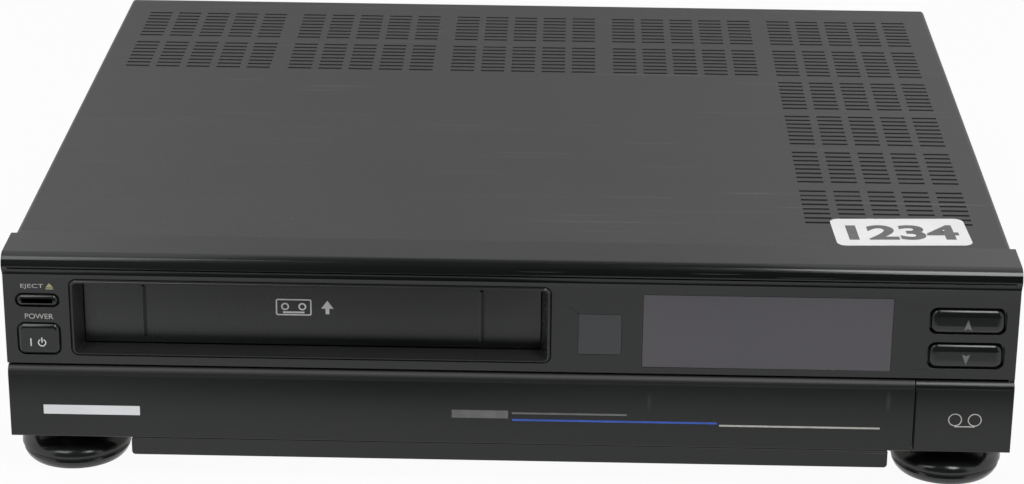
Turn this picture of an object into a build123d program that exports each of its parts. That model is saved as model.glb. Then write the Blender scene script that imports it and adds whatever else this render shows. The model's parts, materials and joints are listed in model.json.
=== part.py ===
"""VHS video cassette recorder, as an assembly of separate named pieces.

Row frame, millimetres: X to the right, Y from the front to the rear, Z up.
The origin is on the resting plane, at the middle of the box round the machine.
Depths called "d" count from the foremost plane of the fascia towards the rear.
"""
import math
import os

from build123d import *

# ---------------------------------------------------------------- driving dimensions
COVER_WIDTH = 417.0            # steel cover, side to side
FASCIA_OVERHANG = 1.5          # fascia beyond the cover, each side
WIDTH = COVER_WIDTH + 2 * FASCIA_OVERHANG
DEPTH = 364.0                  # fascia nose to the rear edge of the cover
HEIGHT = 99.5                  # resting plane to the top of the fascia
BODY_BOTTOM = 17.4             # underside of the pan, and the height of the feet

# top cover
SHEET = 1.0                    # cover and rear panel steel
COVER_DROP = 0.2               # top of the cover below the top of the fascia
COVER_START = 25.7             # d of the cover's front edge
COVER_LIFT = 1.7               # cover's lower edge above the pan's underside
COVER_HEM = 8.0                # height of the folded rear hem
BEND_RADIUS = 2.2
# vent field
SLOT_LENGTH = 11.5
SLOT_WIDTH = 2.0
SLOT_PITCH = 5.45
SLOTS_PER_CELL = 8
CELLS_PER_GROUP = 5
GROUPS = 5
GROUP_GAP = 8.9                # plain strip between two groups
ROW_PITCH = 50.1
BACK_ROWS = 2                  # rows of cells along the rear edge
VENT_FRONT = 51.9              # least d of the foremost slot of the right-hand group
VENT_SIDE = 8.5                # side of the cover to the field of the groups
VENT_REAR = 21.45              # last slot to the rear edge of the cover

# fascia moulding
WALL = 2.4                     # moulded wall
SIDE_WALL = 2.4                # cheek at each end
NOSE_RADIUS = 5.0
NOSE_DROP = 5.5                # top of the cover to the styling groove
GROOVE = 0.8
GROOVE_DEPTH = 1.2
FACE_SETBACK = 2.0             # upper face behind the nose
COVE = 3.2                     # height of the sloping strip under the groove
FACE_BOTTOM = 50.3
SHELF_END = 16.2               # d of the back of the recessed lower wall
TONGUE = 7.7                   # reach of the ledge that the cover rests on
CLEAR = 0.3                    # gap between pieces that only lie beside each other
RUN = 0.05                     # radial clearance of a pin that turns

# drop-down door and the fixed panel beside it
FIXED_PANEL = 41.0             # width of the fixed panel right of the door
DOOR_GAP = 0.4
DOOR_EDGE = 45.8               # Z where the flat front turns into the ledge
LEDGE_RADIUS = 3.5
LEDGE_DEPTH = 6.5
DOOR_WALL = 2.4
DOOR_FRONT = 0.4               # d of the door's flat front
DOOR_LIP = 0.5                 # radius of its lower front edge
HINGE_RADIUS = 2.8             # round back of the door's lower edge, about its hinge
HINGE_PIN = 0.8
HINGE_PIN_LENGTH = 18.0
LUG_RADIUS = 1.5
LUG_WIDTH = 6.0
LUG_INSET = 20.0               # hinge ears in from the ends of the door
SKIRT_GAP = 4.0                # skirt to foot, each side
SKIRT_BOTTOM = 9.7
SKIRT_CORNER = 1.5
CRADLE = 4.0                   # radius of the hollow in which the door's lower edge turns

# cassette opening: a cassette is 187 x 103 x 25
CASSETTE = (187.0, 103.0, 25.0)
DECK_X = -82.8                 # centre line of the opening and of the tape deck
THROAT_CLEARANCE = 2.35        # each side of the cassette
THROAT_BOTTOM = 55.7
THROAT_HEIGHT = 30.8
MOUTH_FLARE = 2.6              # draft of the opening, each side
FRAME_RIM = 1.3
FRAME_FRONT = 1.2
FRAME_DEPTH = 12.2
FRAME_CHEEK_END = 18.0
FRAME_CORNER = 3.0
FRAME_FLANGE = 2.0
FLAP_THICK = 2.0
FLAP_PIN = 1.2
FLAP_PIN_REACH = 2.6
FLAP_RIB_OFFSET = 70.7         # grooves in the flap, from its centre
FLAP_RIB = (1.3, 24.0, 0.6)    # width, length, depth

# windows and keys in the upper face: centre x, centre z, width, height
DISPLAY = (WIDTH / 2 - 103.4, 69.5, 103.2, 32.6)
REMOTE = (37.3, 67.6, 18.0, 18.2)
EJECT = (-WIDTH / 2 + 14.0, 78.8, 18.6, 6.2)
POWER = (-WIDTH / 2 + 14.0, 61.5, 18.4, 14.6)
CHANNEL_UP = (WIDTH / 2 - 21.0, 76.3, 32.0, 12.0)
CHANNEL_DOWN = (WIDTH / 2 - 21.0, 60.8, 32.0, 12.0)
KEY_GAP = 0.6                  # window to cap, all round
KEY_FLANGE = 1.2
KEY_TRAVEL = 1.0
KEY_PROUD = 1.2
SWITCH_DEPTH = 3.2             # small push switch on its board
BOARD = 1.6                    # circuit board thickness
FRONT_BOARD_D = 14.0

# keys behind the door
DECK_KEY = (25.0, 9.0)
DECK_KEY_Z = 35.5
DECK_KEY_START = -160.0
DECK_KEY_PITCH = 29.0
DECK_KEY_PROUD = 3.6
DECK_KEYS = ("rewind_key", "play_key", "forward_key", "record_key", "pause_key", "stop_key")
KNOB_X = 60.0
KNOB_RADIUS = 9.0
KNOB_LENGTH = 5.0
KNOB_SHAFT = 3.0
CONTROL_BOARD_D = 24.0
CONTROL_POST_XS = (-170.0, -87.5, 0.0, 80.0)
CONTROL_POST_Z = 45.5
POST_RADIUS = 1.8
BOSS_INSET = 8.0               # posts in from the lower and upper edge of the face

# feet
FOOT_D = 26.0
FOOT_RADIUS = 23.5
FOOT_NECK = 12.0
FOOT_RING = (3.4, 4.3, 5.5)    # Z of the base ring's edge, of the waist and of the dome's edge
FOOT_DOME = 12.1               # Z of the neck's start
REAR_FOOT_INSET = (40.0, 34.0)  # centre of a rear foot from the side and from the rear edge
REAR_FOOT_RADIUS = 11.0

# pan and rear panel
PAN = 1.2
PAN_FLANGE = 13.5
PAN_START = 17.0
REAR_INSET = 9.0               # rear panel in from the cover's rear edge

# screws
SCREW_Z = 25.5
SIDE_SCREW_DS = (70.0, DEPTH - 64.0)
SCREW_SHANK = 1.4
SCREW_HOLE = 1.7
SCREW_HEAD = (4.0, 1.4)        # radius, height
REAR_SCREW_XS = (-COVER_WIDTH / 2 + 10.5, 0.0, COVER_WIDTH / 2 - 10.5)
REAR_SCREW_Z = 91.5

# tape deck
DECK_TOP = 34.0
DECK_THICK = 1.5
DECK_START = 34.0
DECK_END = 245.0
DECK_LEFT = -WIDTH / 2 + 7.0
DECK_RIGHT = DECK_LEFT + 240.0
DRUM_D = 186.0
DRUM_RADIUS = 31.0
DRUM_TILT = 5.6
DRUM_SPLIT = 19.0              # height of the lower drum along its axis
UPPER_DRUM = 14.0
DRUM_GAP = 0.4
DRUM_SHAFT = 3.0
REEL_SPACING = 92.2
REEL_D = 86.0
REEL_RIM = 26.0
REEL_SEAT = 42.5               # Z of the cassette's underside when loaded
SPINDLE_RADIUS = 4.6
SPINDLE_TOP = 54.5
SHAFT = 1.5                    # fixed steel shafts on the deck
IDLER_RADIUS = 16.0
IDLER_ARM = 28.0
CAPSTAN_X = 56.0               # from the deck's centre line
CAPSTAN_D = 152.0
CAPSTAN_SHAFT = 1.5
CAPSTAN_TOP = 63.5
FLYWHEEL_RADIUS = 21.0
PINCH_PIVOT = (84.0, 160.0)
PINCH_ARM = 22.0
PINCH_REST = 158.9             # degrees
ROLLER_RADIUS = 7.0
ROLLER_AXLE = 2.0
GUIDE_START = (30.0, 129.0)    # offset from the centre line, d
GUIDE_END = (42.0, 201.0)
GUIDE_SLOT = 6.2
GUIDE_POST = 3.0
TAPE_TOP = 61.5
CAM_X = -88.0
CAM_D = 215.0
CAM_TEETH = 24
CAM_RADIUS = 16.0
WORM_RADIUS = 3.2

# cassette carriage
SIDE_PLATE = 97.4              # inner face of a side plate, from the centre line
PLATE = 1.2
CARRIAGE_START = 30.0
CARRIAGE_END = 150.0
CARRIAGE_TOP = 89.5
BASKET_START = 46.0
BASKET_END = 88.0
BASKET_HALF = 95.3
BASKET_BOTTOM = 56.8
BASKET_TOP = 84.8
BASKET_LEDGE = 18.5
CARRIAGE_IN = 46.0
CARRIAGE_DROP = 15.3
RIDER = 2.0                    # pins that carry the basket and its slides
RIDER_DS = (55.0, 79.0)
RIDER_Z = 69.5
SLIDE_PIN_Z = 78.5
SLIDE_GAP = 0.5                # basket to slide plate, and slide plate to side plate

# main board, supply and rear connectors
BOARD_BOTTOM = 28.5
BOARD_START = 40.0             # d of the main board's front edge
BOARD_SIDE_GAP = 5.0           # main board to the cover
BOARD_REAR_GAP = 4.0           # main board to the rear panel
BOARD_DECK_GAP = (7.0, 11.0)   # main board to the deck: beside it, behind it
TRANSFORMER_INSET = (49.5, 51.0)  # its centre from the cover and from the rear panel
AERIAL_X = (34.0, 58.0)
AERIAL_Z = 67.5
COAX_BORE = 4.8
COAX_PIN = 4.75
AUDIO_XS = (-16.0, 2.0)
AUDIO_Z = 67.5
RCA_RADIUS = 4.15
SCART_XS = (-150.0, -85.0)
SCART_Z = 63.5
SCART_SIZE = (47.0, 15.0)
INLET_X = 165.0
INLET_Z = 45.5

INNER_HALF = COVER_WIDTH / 2 - SHEET            # inside face of the cover's side
DECK_BOTTOM = DECK_TOP - DECK_THICK
PAN_TOP = BODY_BOTTOM + PAN
FACE_BACK = FACE_SETBACK + WALL
THROAT_HALF = CASSETTE[0] / 2 + THROAT_CLEARANCE
THROAT_Z = (THROAT_BOTTOM, THROAT_BOTTOM + THROAT_HEIGHT)
HINGE_D = DOOR_FRONT + HINGE_RADIUS             # hinge axis, near the door's lower front corner
HINGE_Z = BODY_BOTTOM + HINGE_RADIUS
DOOR_SPLIT = WIDTH / 2 - FIXED_PANEL            # X of the gap between door and fixed panel
LUG_XS = (-WIDTH / 2 + LUG_INSET, DOOR_SPLIT - LUG_INSET)
BOARD_TOP = BOARD_BOTTOM + BOARD
COVER_TOP = HEIGHT - COVER_DROP
REAR_PANEL_D = DEPTH - REAR_INSET - SHEET
FOOT_X = WIDTH / 2 - FOOT_RADIUS
REAR_FOOT_X = WIDTH / 2 - REAR_FOOT_INSET[0]
REAR_FOOT_D = DEPTH - REAR_FOOT_INSET[1]
SKIRT_HALF = FOOT_X - FOOT_RADIUS - SKIRT_GAP   # half length of the skirt between the front feet
TRANSFORMER_X = INNER_HALF - TRANSFORMER_INSET[0]
TRANSFORMER_D = REAR_PANEL_D - TRANSFORMER_INSET[1]
BOARD_RIGHT = INNER_HALF - BOARD_SIDE_GAP
BOARD_END = REAR_PANEL_D - BOARD_REAR_GAP
BAY_LEFT = DECK_RIGHT + BOARD_DECK_GAP[0]       # part of the main board beside the deck
BAY_END = TRANSFORMER_D - 37.0
STRIP_START = DECK_END + BOARD_DECK_GAP[1]      # part of the main board behind the deck
STRIP_RIGHT = TRANSFORMER_X - 44.0


# ---------------------------------------------------------------- helpers
def at(d):
    """Y of a depth behind the fascia's foremost plane."""
    return d - DEPTH / 2


def block(x, d, z):
    """A box from low and high limits along X, depth and Z."""
    size = [high - low for low, high in (x, d, z)]
    middle = [(low + high) / 2 for low, high in (x, d, z)]
    return Pos(middle[0], at(middle[1]), middle[2]) * Box(*size)


def along_x(sketch, x_low, x_high):
    """A profile drawn as (depth, Z), swept from one X to another."""
    return Pos(x_low, -DEPTH / 2, 0) * extrude(Plane.YZ * sketch, x_high - x_low, dir=(1, 0, 0))


def along_d(sketch, d_low, d_high):
    """A profile drawn as (X, Z), swept from one depth to another."""
    return Pos(0, at(d_low), 0) * extrude(Plane.XZ * sketch, d_high - d_low, dir=(0, 1, 0))


def upright(x, d, z_low, z_high, radius, radius_top=None):
    """A round post, or a cone if it is given a top radius."""
    if radius_top is None:
        solid = Cylinder(radius, z_high - z_low)
    else:
        solid = Cone(radius, radius_top, z_high - z_low)
    return Pos(x, at(d), (z_low + z_high) / 2) * solid


def lying(x_low, x_high, d, z, radius):
    """A round pin along X."""
    return Pos((x_low + x_high) / 2, at(d), z) * Rot(0, 90, 0) * Cylinder(radius, x_high - x_low)


def pointing_back(x, z, d_low, d_high, radius):
    """A round pin along Y."""
    return Pos(x, at((d_low + d_high) / 2), z) * Rot(90, 0, 0) * Cylinder(radius, d_high - d_low)


def rounded(width, height, radius, x=0.0, z=0.0):
    """A rounded rectangle as a sketch about a centre."""
    return Pos(x, z) * RectangleRounded(width, height, radius)


def polygon(points):
    return Polygon(*points, align=None)


def turned(points, x, d):
    """A ring or disc from its half section, drawn as (radius, Z)."""
    return Pos(x, at(d), 0) * revolve(Plane.XZ * polygon(points), Axis.Z)


def save(name, shape):
    os.makedirs("parts", exist_ok=True)
    export_step(shape if isinstance(shape, Compound) else Compound(children=[shape]), f"parts/{name}.step")


def group(solids):
    return Compound(children=list(solids))


# ---------------------------------------------------------------- enclosure
def vent_slots():
    """Every slot of the vent field, as cutters through the cover's top."""
    group_pitch = (COVER_WIDTH - 2 * VENT_SIDE) / GROUPS
    cell_pitch = (group_pitch - GROUP_GAP - SLOT_LENGTH) / (CELLS_PER_GROUP - 1)
    first_x = -((GROUPS - 1) * group_pitch + (CELLS_PER_GROUP - 1) * cell_pitch) / 2
    last_d = DEPTH - VENT_REAR - SLOT_WIDTH / 2
    side_rows = int((DEPTH - VENT_FRONT) / ROW_PITCH)
    slots = []
    for g in range(GROUPS):
        rows = side_rows if g == GROUPS - 1 else BACK_ROWS
        for c in range(CELLS_PER_GROUP):
            x = first_x + g * group_pitch + c * cell_pitch
            for row in range(rows):
                for s in range(SLOTS_PER_CELL):
                    d = last_d - row * ROW_PITCH - s * SLOT_PITCH
                    slots.append(Pos(x, at(d), COVER_TOP) * Box(SLOT_LENGTH, SLOT_WIDTH, 4 * SHEET))
    return slots


def top_cover():
    half = COVER_WIDTH / 2
    low = BODY_BOTTOM + COVER_LIFT
    outer = rounded(COVER_WIDTH, 2 * (COVER_TOP - low), BEND_RADIUS, 0, low)
    inner = rounded(COVER_WIDTH - 2 * SHEET, 2 * (COVER_TOP - low - SHEET), BEND_RADIUS - SHEET, 0, low)
    ring = outer - inner - Pos(0, low - HEIGHT) * Rectangle(2 * WIDTH, 2 * HEIGHT)
    cover = along_d(ring, COVER_START, DEPTH)
    hem_z = (COVER_TOP - COVER_HEM, COVER_TOP - SHEET / 2)
    hem = block((-half + 8, half - 8), (DEPTH - SHEET, DEPTH), hem_z)
    holes = [lying(-half - 1, half + 1, d, SCREW_Z, SCREW_HOLE) for d in SIDE_SCREW_DS]
    return cover - vent_slots() - holes + hem


def bezel_outline():
    """Section of the upper moulding: nose, groove, face, shelf and the wall behind them."""
    groove_top = HEIGHT - NOSE_DROP
    groove_bottom = groove_top - GROOVE
    end = COVER_START - DOOR_GAP
    nose = [
        (end, HEIGHT), (0, HEIGHT), (0, groove_top), (GROOVE_DEPTH, groove_top),
        (GROOVE_DEPTH, groove_bottom), (GROOVE_DEPTH / 3, groove_bottom),
        (FACE_SETBACK, groove_bottom - COVE), (FACE_SETBACK, FACE_BOTTOM),
    ]
    inside = [
        (SHELF_END, FACE_BOTTOM), (SHELF_END, FACE_BOTTOM + WALL), (FACE_BACK, FACE_BOTTOM + WALL),
        (FACE_BACK, HEIGHT - WALL), (end, HEIGHT - WALL),
    ]
    shape = polygon(nose + inside)
    corner = shape.vertices().sort_by_distance((0, HEIGHT, 0))[0]
    return fillet(corner, NOSE_RADIUS)


def cheek_outline(front):
    """Side wall of the moulding; below the shelf it starts at the given depth."""
    groove_top = HEIGHT - NOSE_DROP
    end = COVER_START - DOOR_GAP
    shape = polygon([
        (end, HEIGHT), (0, HEIGHT), (0, groove_top), (FACE_SETBACK, groove_top - GROOVE - COVE),
        (FACE_SETBACK, FACE_BOTTOM), (front, FACE_BOTTOM), (front, BODY_BOTTOM), (end, BODY_BOTTOM),
    ])
    corner = shape.vertices().sort_by_distance((0, HEIGHT, 0))[0]
    return fillet(corner, NOSE_RADIUS)


def door_outline():
    """Section shared by the door and the fixed panel: flat front, ledge on top, round hinge below."""
    top = DOOR_EDGE + LEDGE_RADIUS
    back = DOOR_FRONT + DOOR_WALL
    outer = polygon([
        (DOOR_FRONT, BODY_BOTTOM), (DOOR_FRONT, top), (LEDGE_DEPTH, top), (LEDGE_DEPTH, top - DOOR_WALL),
        (back, top - DOOR_WALL), (back, HINGE_Z), (HINGE_D, HINGE_Z), (HINGE_D, BODY_BOTTOM),
    ])
    corners = [((DOOR_FRONT, BODY_BOTTOM, 0), DOOR_LIP), ((DOOR_FRONT, top, 0), LEDGE_RADIUS),
               ((back, top - DOOR_WALL, 0), LEDGE_RADIUS - DOOR_WALL)]
    for corner, radius in corners:
        outer = fillet(outer.vertices().sort_by_distance(corner)[0], radius)
    return outer + Pos(HINGE_D, HINGE_Z) * Circle(HINGE_RADIUS)


def skirt_outline():
    """Section of the skirt under the door: front lip, hollow for the door's edge, floor and rear upstand."""
    floor, upstand = HINGE_Z - CRADLE, PAN_TOP + CLEAR
    back = DOOR_FRONT + WALL
    profile = polygon([
        (DOOR_FRONT, SKIRT_BOTTOM), (DOOR_FRONT, BODY_BOTTOM - CLEAR), (HINGE_D, BODY_BOTTOM - CLEAR),
        (HINGE_D, floor), (SHELF_END - WALL, floor), (SHELF_END - WALL, upstand), (SHELF_END, upstand),
        (SHELF_END, floor - WALL), (back, floor - WALL), (back, SKIRT_BOTTOM),
    ])
    return profile - Pos(HINGE_D, HINGE_Z) * Circle(CRADLE)


def hinge_lug(x):
    """An ear of the moulding that carries a door hinge pin."""
    ear = Pos(HINGE_D, HINGE_Z) * Circle(LUG_RADIUS)
    neck = polygon([
        (HINGE_D, HINGE_Z - LUG_RADIUS), (SHELF_END, HINGE_Z - LUG_RADIUS),
        (SHELF_END, HINGE_Z + LUG_RADIUS), (HINGE_D, HINGE_Z + LUG_RADIUS),
    ])
    profile = ear + neck - Pos(HINGE_D, HINGE_Z) * Circle(HINGE_PIN + RUN)
    return along_x(profile, x - LUG_WIDTH / 2, x + LUG_WIDTH / 2)


def deck_key_xs():
    return [DECK_KEY_START + i * DECK_KEY_PITCH for i in range(len(DECK_KEYS))]


def boss_places():
    """Screw posts for the boards behind the upper face: (x, z)."""
    between = (REMOTE[0] + REMOTE[2] / 2 + DISPLAY[0] - DISPLAY[2] / 2) / 2
    right = (DISPLAY[0] + DISPLAY[2] / 2 + CHANNEL_UP[0] - CHANNEL_UP[2] / 2) / 2
    low, high = FACE_BOTTOM + BOSS_INSET, HEIGHT - NOSE_DROP - BOSS_INSET
    left = (EJECT[1] - EJECT[3] / 2 + POWER[1] + POWER[3] / 2) / 2
    return [(EJECT[0], left), (EJECT[0], high), (between, low), (between, high), (right, low), (right, high)]


def front_bezel():
    half = WIDTH / 2
    body = along_x(bezel_outline(), -half, half)
    body += along_x(cheek_outline(LEDGE_DEPTH + 2 * CLEAR), -half, -half + SIDE_WALL)
    body += along_x(cheek_outline(DOOR_WALL), half - SIDE_WALL, half)
    # recessed lower wall, the ledge that lies on the pan and the ledge under the cover
    inner_half = half - SIDE_WALL / 2
    recess = (SHELF_END - WALL, SHELF_END)
    body += block((-inner_half, inner_half), recess, (BODY_BOTTOM, FACE_BOTTOM + WALL))
    body += block((-SKIRT_HALF, SKIRT_HALF), (SHELF_END - WALL / 2, 30.0), (PAN_TOP, PAN_TOP + WALL / 2))
    tongue_top = COVER_TOP - SHEET
    end = COVER_START - DOOR_GAP
    tongue = (INNER_HALF - BEND_RADIUS, end - WALL, end + TONGUE)
    body += block((-tongue[0], tongue[0]), tongue[1:], (tongue_top - WALL, tongue_top))
    # skirt between the front feet
    skirt = along_x(skirt_outline(), -SKIRT_HALF, SKIRT_HALF)
    low_corners = skirt.edges().filter_by(Axis.Y).group_by(Axis.Z)[0]
    skirt = fillet([e for e in low_corners if abs(abs(e.center().X) - SKIRT_HALF) < 0.1], SKIRT_CORNER)
    body += skirt
    # fixed panel right of the door, with a rib back to the recessed wall
    panel_left = DOOR_SPLIT + DOOR_GAP / 2
    body += along_x(door_outline(), panel_left, half)
    body += block((panel_left, panel_left + WALL), (DOOR_WALL, SHELF_END - WALL / 2), (HINGE_Z, DOOR_EDGE))
    body += [hinge_lug(x) for x in LUG_XS]
    # windows in the upper face
    frame_w, frame_h, frame_z = frame_size()
    windows = [rounded(frame_w + 2 * CLEAR, frame_h + 2 * CLEAR, FRAME_CORNER + CLEAR, DECK_X, frame_z)]
    windows += [rounded(w, h, 0.5, x, z) for x, z, w, h in (DISPLAY, REMOTE)]
    for x, z, w, h in (EJECT, POWER, CHANNEL_UP, CHANNEL_DOWN):
        windows.append(rounded(w, h, min(3.5, h / 2 - 0.05), x, z))
    for w in windows:
        body -= along_d(w, -1, FACE_BACK + 1)
    # openings in the recessed wall for the deck keys and the knob's shaft
    half_w, half_h = DECK_KEY[0] / 2 + KEY_GAP, DECK_KEY[1] / 2 + KEY_GAP
    through = (recess[0] - 1, recess[1] + 1)
    for x in deck_key_xs():
        body -= block((x - half_w, x + half_w), through, (DECK_KEY_Z - half_h, DECK_KEY_Z + half_h))
    body -= pointing_back(KNOB_X, DECK_KEY_Z, *through, KNOB_SHAFT + RUN)
    # posts for the boards
    for x, z in boss_places():
        body += pointing_back(x, z, FACE_BACK - 0.5, FRONT_BOARD_D, POST_RADIUS)
    for x in CONTROL_POST_XS:
        body += pointing_back(x, CONTROL_POST_Z, SHELF_END - 0.5, CONTROL_BOARD_D, POST_RADIUS)
    return body


def frame_size():
    """Outer width, height and centre Z of the cassette frame."""
    mouth_half = THROAT_HALF + MOUTH_FLARE
    low = THROAT_Z[0] - FRAME_RIM
    high = THROAT_Z[1] + FRAME_RIM + 0.4
    return 2 * (mouth_half + FRAME_RIM), high - low, (low + high) / 2


def slot_frame():
    """Escutcheon of the cassette opening, with the ears that carry the flap."""
    width, height, z = frame_size()
    body = along_d(rounded(width, height, FRAME_CORNER, DECK_X, z), FRAME_FRONT, FRAME_DEPTH)
    rim = body.faces().sort_by(Axis.Y)[0].outer_wire().edges()
    body = chamfer(rim, 0.7)
    flange = rounded(width + 2 * FRAME_FLANGE, height + 1.4 * FRAME_FLANGE, FRAME_CORNER, DECK_X, z)
    body += along_d(flange, FACE_BACK + CLEAR, FACE_BACK + CLEAR + 1.5)
    ear = (THROAT_HALF, THROAT_HALF + WALL + 1.0)
    for low, high in ((-ear[1], -ear[0]), ear):
        body += block((DECK_X + low, DECK_X + high), (FRAME_DEPTH - 1, FRAME_CHEEK_END), THROAT_Z)
    throat_z = sum(THROAT_Z) / 2
    mouth = Pos(0, at(FRAME_FRONT - 0.01), 0) * (
        Plane.XZ * rounded(2 * (THROAT_HALF + MOUTH_FLARE), THROAT_HEIGHT + 0.7, 2.0, DECK_X, throat_z))
    throat = Pos(0, at(FRAME_DEPTH + 0.01), 0) * (
        Plane.XZ * rounded(2 * THROAT_HALF, THROAT_HEIGHT, 0.6, DECK_X, throat_z))
    body -= loft([mouth.face(), throat.face()])
    d, pin_z = flap_axis()
    for side in (-1, 1):
        x = DECK_X + side * THROAT_HALF
        x_low, x_high = sorted((x - side, x + side * (FLAP_PIN_REACH + CLEAR)))
        body -= lying(x_low, x_high, d, pin_z, FLAP_PIN + RUN)
    return body


def flap_axis():
    """Depth and Z of the flap's hinge."""
    return FRAME_DEPTH + 2 * CLEAR - 0.2 + FLAP_THICK / 2, THROAT_Z[1] - 1.6


def cassette_flap():
    d, pin_z = flap_axis()
    half = THROAT_HALF - 0.4
    front, back = d - FLAP_THICK / 2, d + FLAP_THICK / 2
    low = THROAT_Z[0] + 0.5
    top = pin_z + FLAP_THICK / 2
    section = polygon([
        (front, low), (front, top), (back, top),
        (back, low + 1.2), (back + 1.6, low + 1.2), (back + 1.6, low),
    ])
    round_top = section.vertices().sort_by(Axis.Y)[-2:]
    plate = along_x(fillet(round_top, FLAP_THICK / 2 - 0.01), DECK_X - half, DECK_X + half)
    width, length, depth = FLAP_RIB
    groove_z = low + 2.6 + length / 2
    for side in (-1, 1):
        groove = rounded(width, length, width / 2 - 0.01, DECK_X + side * FLAP_RIB_OFFSET, groove_z)
        plate -= along_d(groove, front - 1, front + depth)
    for side in (-1, 1):
        x = DECK_X + side * half
        x_low, x_high = sorted((x - side, x + side * (FLAP_PIN_REACH + 0.4)))
        plate += lying(x_low, x_high, d, pin_z, FLAP_PIN)
    return plate


def front_door():
    left, right = -WIDTH / 2 + 0.3, DOOR_SPLIT - DOOR_GAP / 2
    plate = along_x(door_outline(), left, right)
    top = DOOR_EDGE + LEDGE_RADIUS - DOOR_WALL / 2
    end_cap = polygon([
        (DOOR_WALL, HINGE_Z), (HINGE_D, HINGE_Z), (LEDGE_DEPTH, HINGE_Z + LEDGE_DEPTH - HINGE_D),
        (LEDGE_DEPTH, top), (DOOR_WALL, top),
    ])
    plate += along_x(end_cap, left, left + SIDE_WALL)
    plate += along_x(end_cap, right - SIDE_WALL, right)
    reach = LUG_WIDTH / 2 + CLEAR
    skin = HINGE_D - LUG_RADIUS - CLEAR
    ceiling = HINGE_Z + LUG_RADIUS + 2 * CLEAR
    for x in LUG_XS:
        plate -= block((x - reach, x + reach), (skin, 4 * HINGE_RADIUS), (0, ceiling)) + hinge_pin(x)
    return plate


def hinge_pin(x):
    reach = HINGE_PIN_LENGTH / 2
    return lying(x - reach, x + reach, HINGE_D, HINGE_Z, HINGE_PIN)


def door_hinge_pins():
    return group(hinge_pin(x) for x in LUG_XS)


def window(place):
    """A smoked pane that fills its opening, flush with the face."""
    x, z, w, h = place
    gap = 0.15
    pane = along_d(rounded(w - 2 * gap, h - 2 * gap, 0.4, x, z), FACE_SETBACK, FACE_BACK + CLEAR)
    lip_h = h + 2 if h < 25 else h - 2 * gap
    return pane + along_d(rounded(w + 2, lip_h, 0.4, x, z), FACE_BACK + CLEAR, FACE_BACK + 4 * CLEAR)


def push_key(place, outline, edge, front, wall_back, tip):
    """A push key: cap, retaining flange behind the wall, and a stem towards its switch."""
    x, z, w, h = place
    flange_d = wall_back + CLEAR
    cap = along_d(Pos(x, z) * outline, front, flange_d + 0.5)
    cap = chamfer(cap.faces().sort_by(Axis.Y)[0].outer_wire().edges(), edge)
    half_w, half_h = w / 2 + KEY_FLANGE, h / 2 + KEY_FLANGE
    cap += block((x - half_w, x + half_w), (flange_d, flange_d + 1.2), (z - half_h, z + half_h))
    return cap + block((x - 2, x + 2), (flange_d, tip), (z - 1.5, z + 1.5))


def face_key(place, corner):
    """A key of the upper face, with round corners."""
    cap_w, cap_h = place[2] - 2 * KEY_GAP, place[3] - 2 * KEY_GAP
    outline = RectangleRounded(cap_w, cap_h, min(corner, cap_h / 2 - 0.05))
    tip = FRONT_BOARD_D - SWITCH_DEPTH - KEY_TRAVEL - 0.2
    return push_key(place, outline, 0.8, FACE_SETBACK - KEY_PROUD, FACE_BACK, tip)


def deck_key(x):
    """A square-cornered key behind the door."""
    place = (x, DECK_KEY_Z, DECK_KEY[0] + 2 * KEY_GAP, DECK_KEY[1] + 2 * KEY_GAP)
    tip = CONTROL_BOARD_D - SWITCH_DEPTH - KEY_TRAVEL - 0.2
    return push_key(place, Rectangle(*DECK_KEY), 0.8, SHELF_END - WALL - DECK_KEY_PROUD, SHELF_END, tip)


def tracking_knob():
    back = SHELF_END - WALL - CLEAR
    cap = pointing_back(KNOB_X, DECK_KEY_Z, back - KNOB_LENGTH, back, KNOB_RADIUS)
    cap = chamfer(cap.faces().sort_by(Axis.Y)[0].outer_wire().edges(), 1.0)
    mark = (DECK_KEY_Z + 2, DECK_KEY_Z + 8)
    cap -= block((KNOB_X - 0.6, KNOB_X + 0.6), (0, back - KNOB_LENGTH + 0.6), mark)
    return cap + pointing_back(KNOB_X, DECK_KEY_Z, back - 1, CONTROL_BOARD_D - 2.7, KNOB_SHAFT)


def front_switches():
    """Small push switches behind each key, and the potentiometer behind the knob."""
    places = [(x, z, FRONT_BOARD_D) for x, z, _, _ in (EJECT, POWER, CHANNEL_UP, CHANNEL_DOWN)]
    places += [(x, DECK_KEY_Z, CONTROL_BOARD_D) for x in deck_key_xs()]
    solids = []
    for x, z, d in places:
        plunger = block((x - 1.5, x + 1.5), (d - SWITCH_DEPTH, d - 2.6), (z - 1.5, z + 1.5))
        solids.append(block((x - 3, x + 3), (d - 2.6, d), (z - 3, z + 3)) + plunger)
    solids.append(block((KNOB_X - 8, KNOB_X + 8), (CONTROL_BOARD_D - 2.4, CONTROL_BOARD_D),
                        (DECK_KEY_Z - 8, DECK_KEY_Z + 8)))
    return group(solids)


def front_boards():
    """Key board on the left, display board on the right, control board behind the door."""
    low, high = FACE_BOTTOM + WALL + 1, HEIGHT - NOSE_DROP - WALL
    left = block((EJECT[0] - 10.4, EJECT[0] + 10.4), (FRONT_BOARD_D, FRONT_BOARD_D + BOARD), (low, high))
    right = block((REMOTE[0] - 12, CHANNEL_UP[0] + 16), (FRONT_BOARD_D, FRONT_BOARD_D + BOARD), (low, high))
    span = (CONTROL_POST_XS[0] - 6, CONTROL_POST_XS[-1] + 6)
    lower = block(span, (CONTROL_BOARD_D, CONTROL_BOARD_D + BOARD), (DECK_KEY_Z - 12, CONTROL_POST_Z + 3))
    x, z = REMOTE[:2]
    sensor = block((x - 5, x + 5), (FRONT_BOARD_D - 6, FRONT_BOARD_D), (z - 6, z + 6))
    return group([left, right + sensor, lower])


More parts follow.
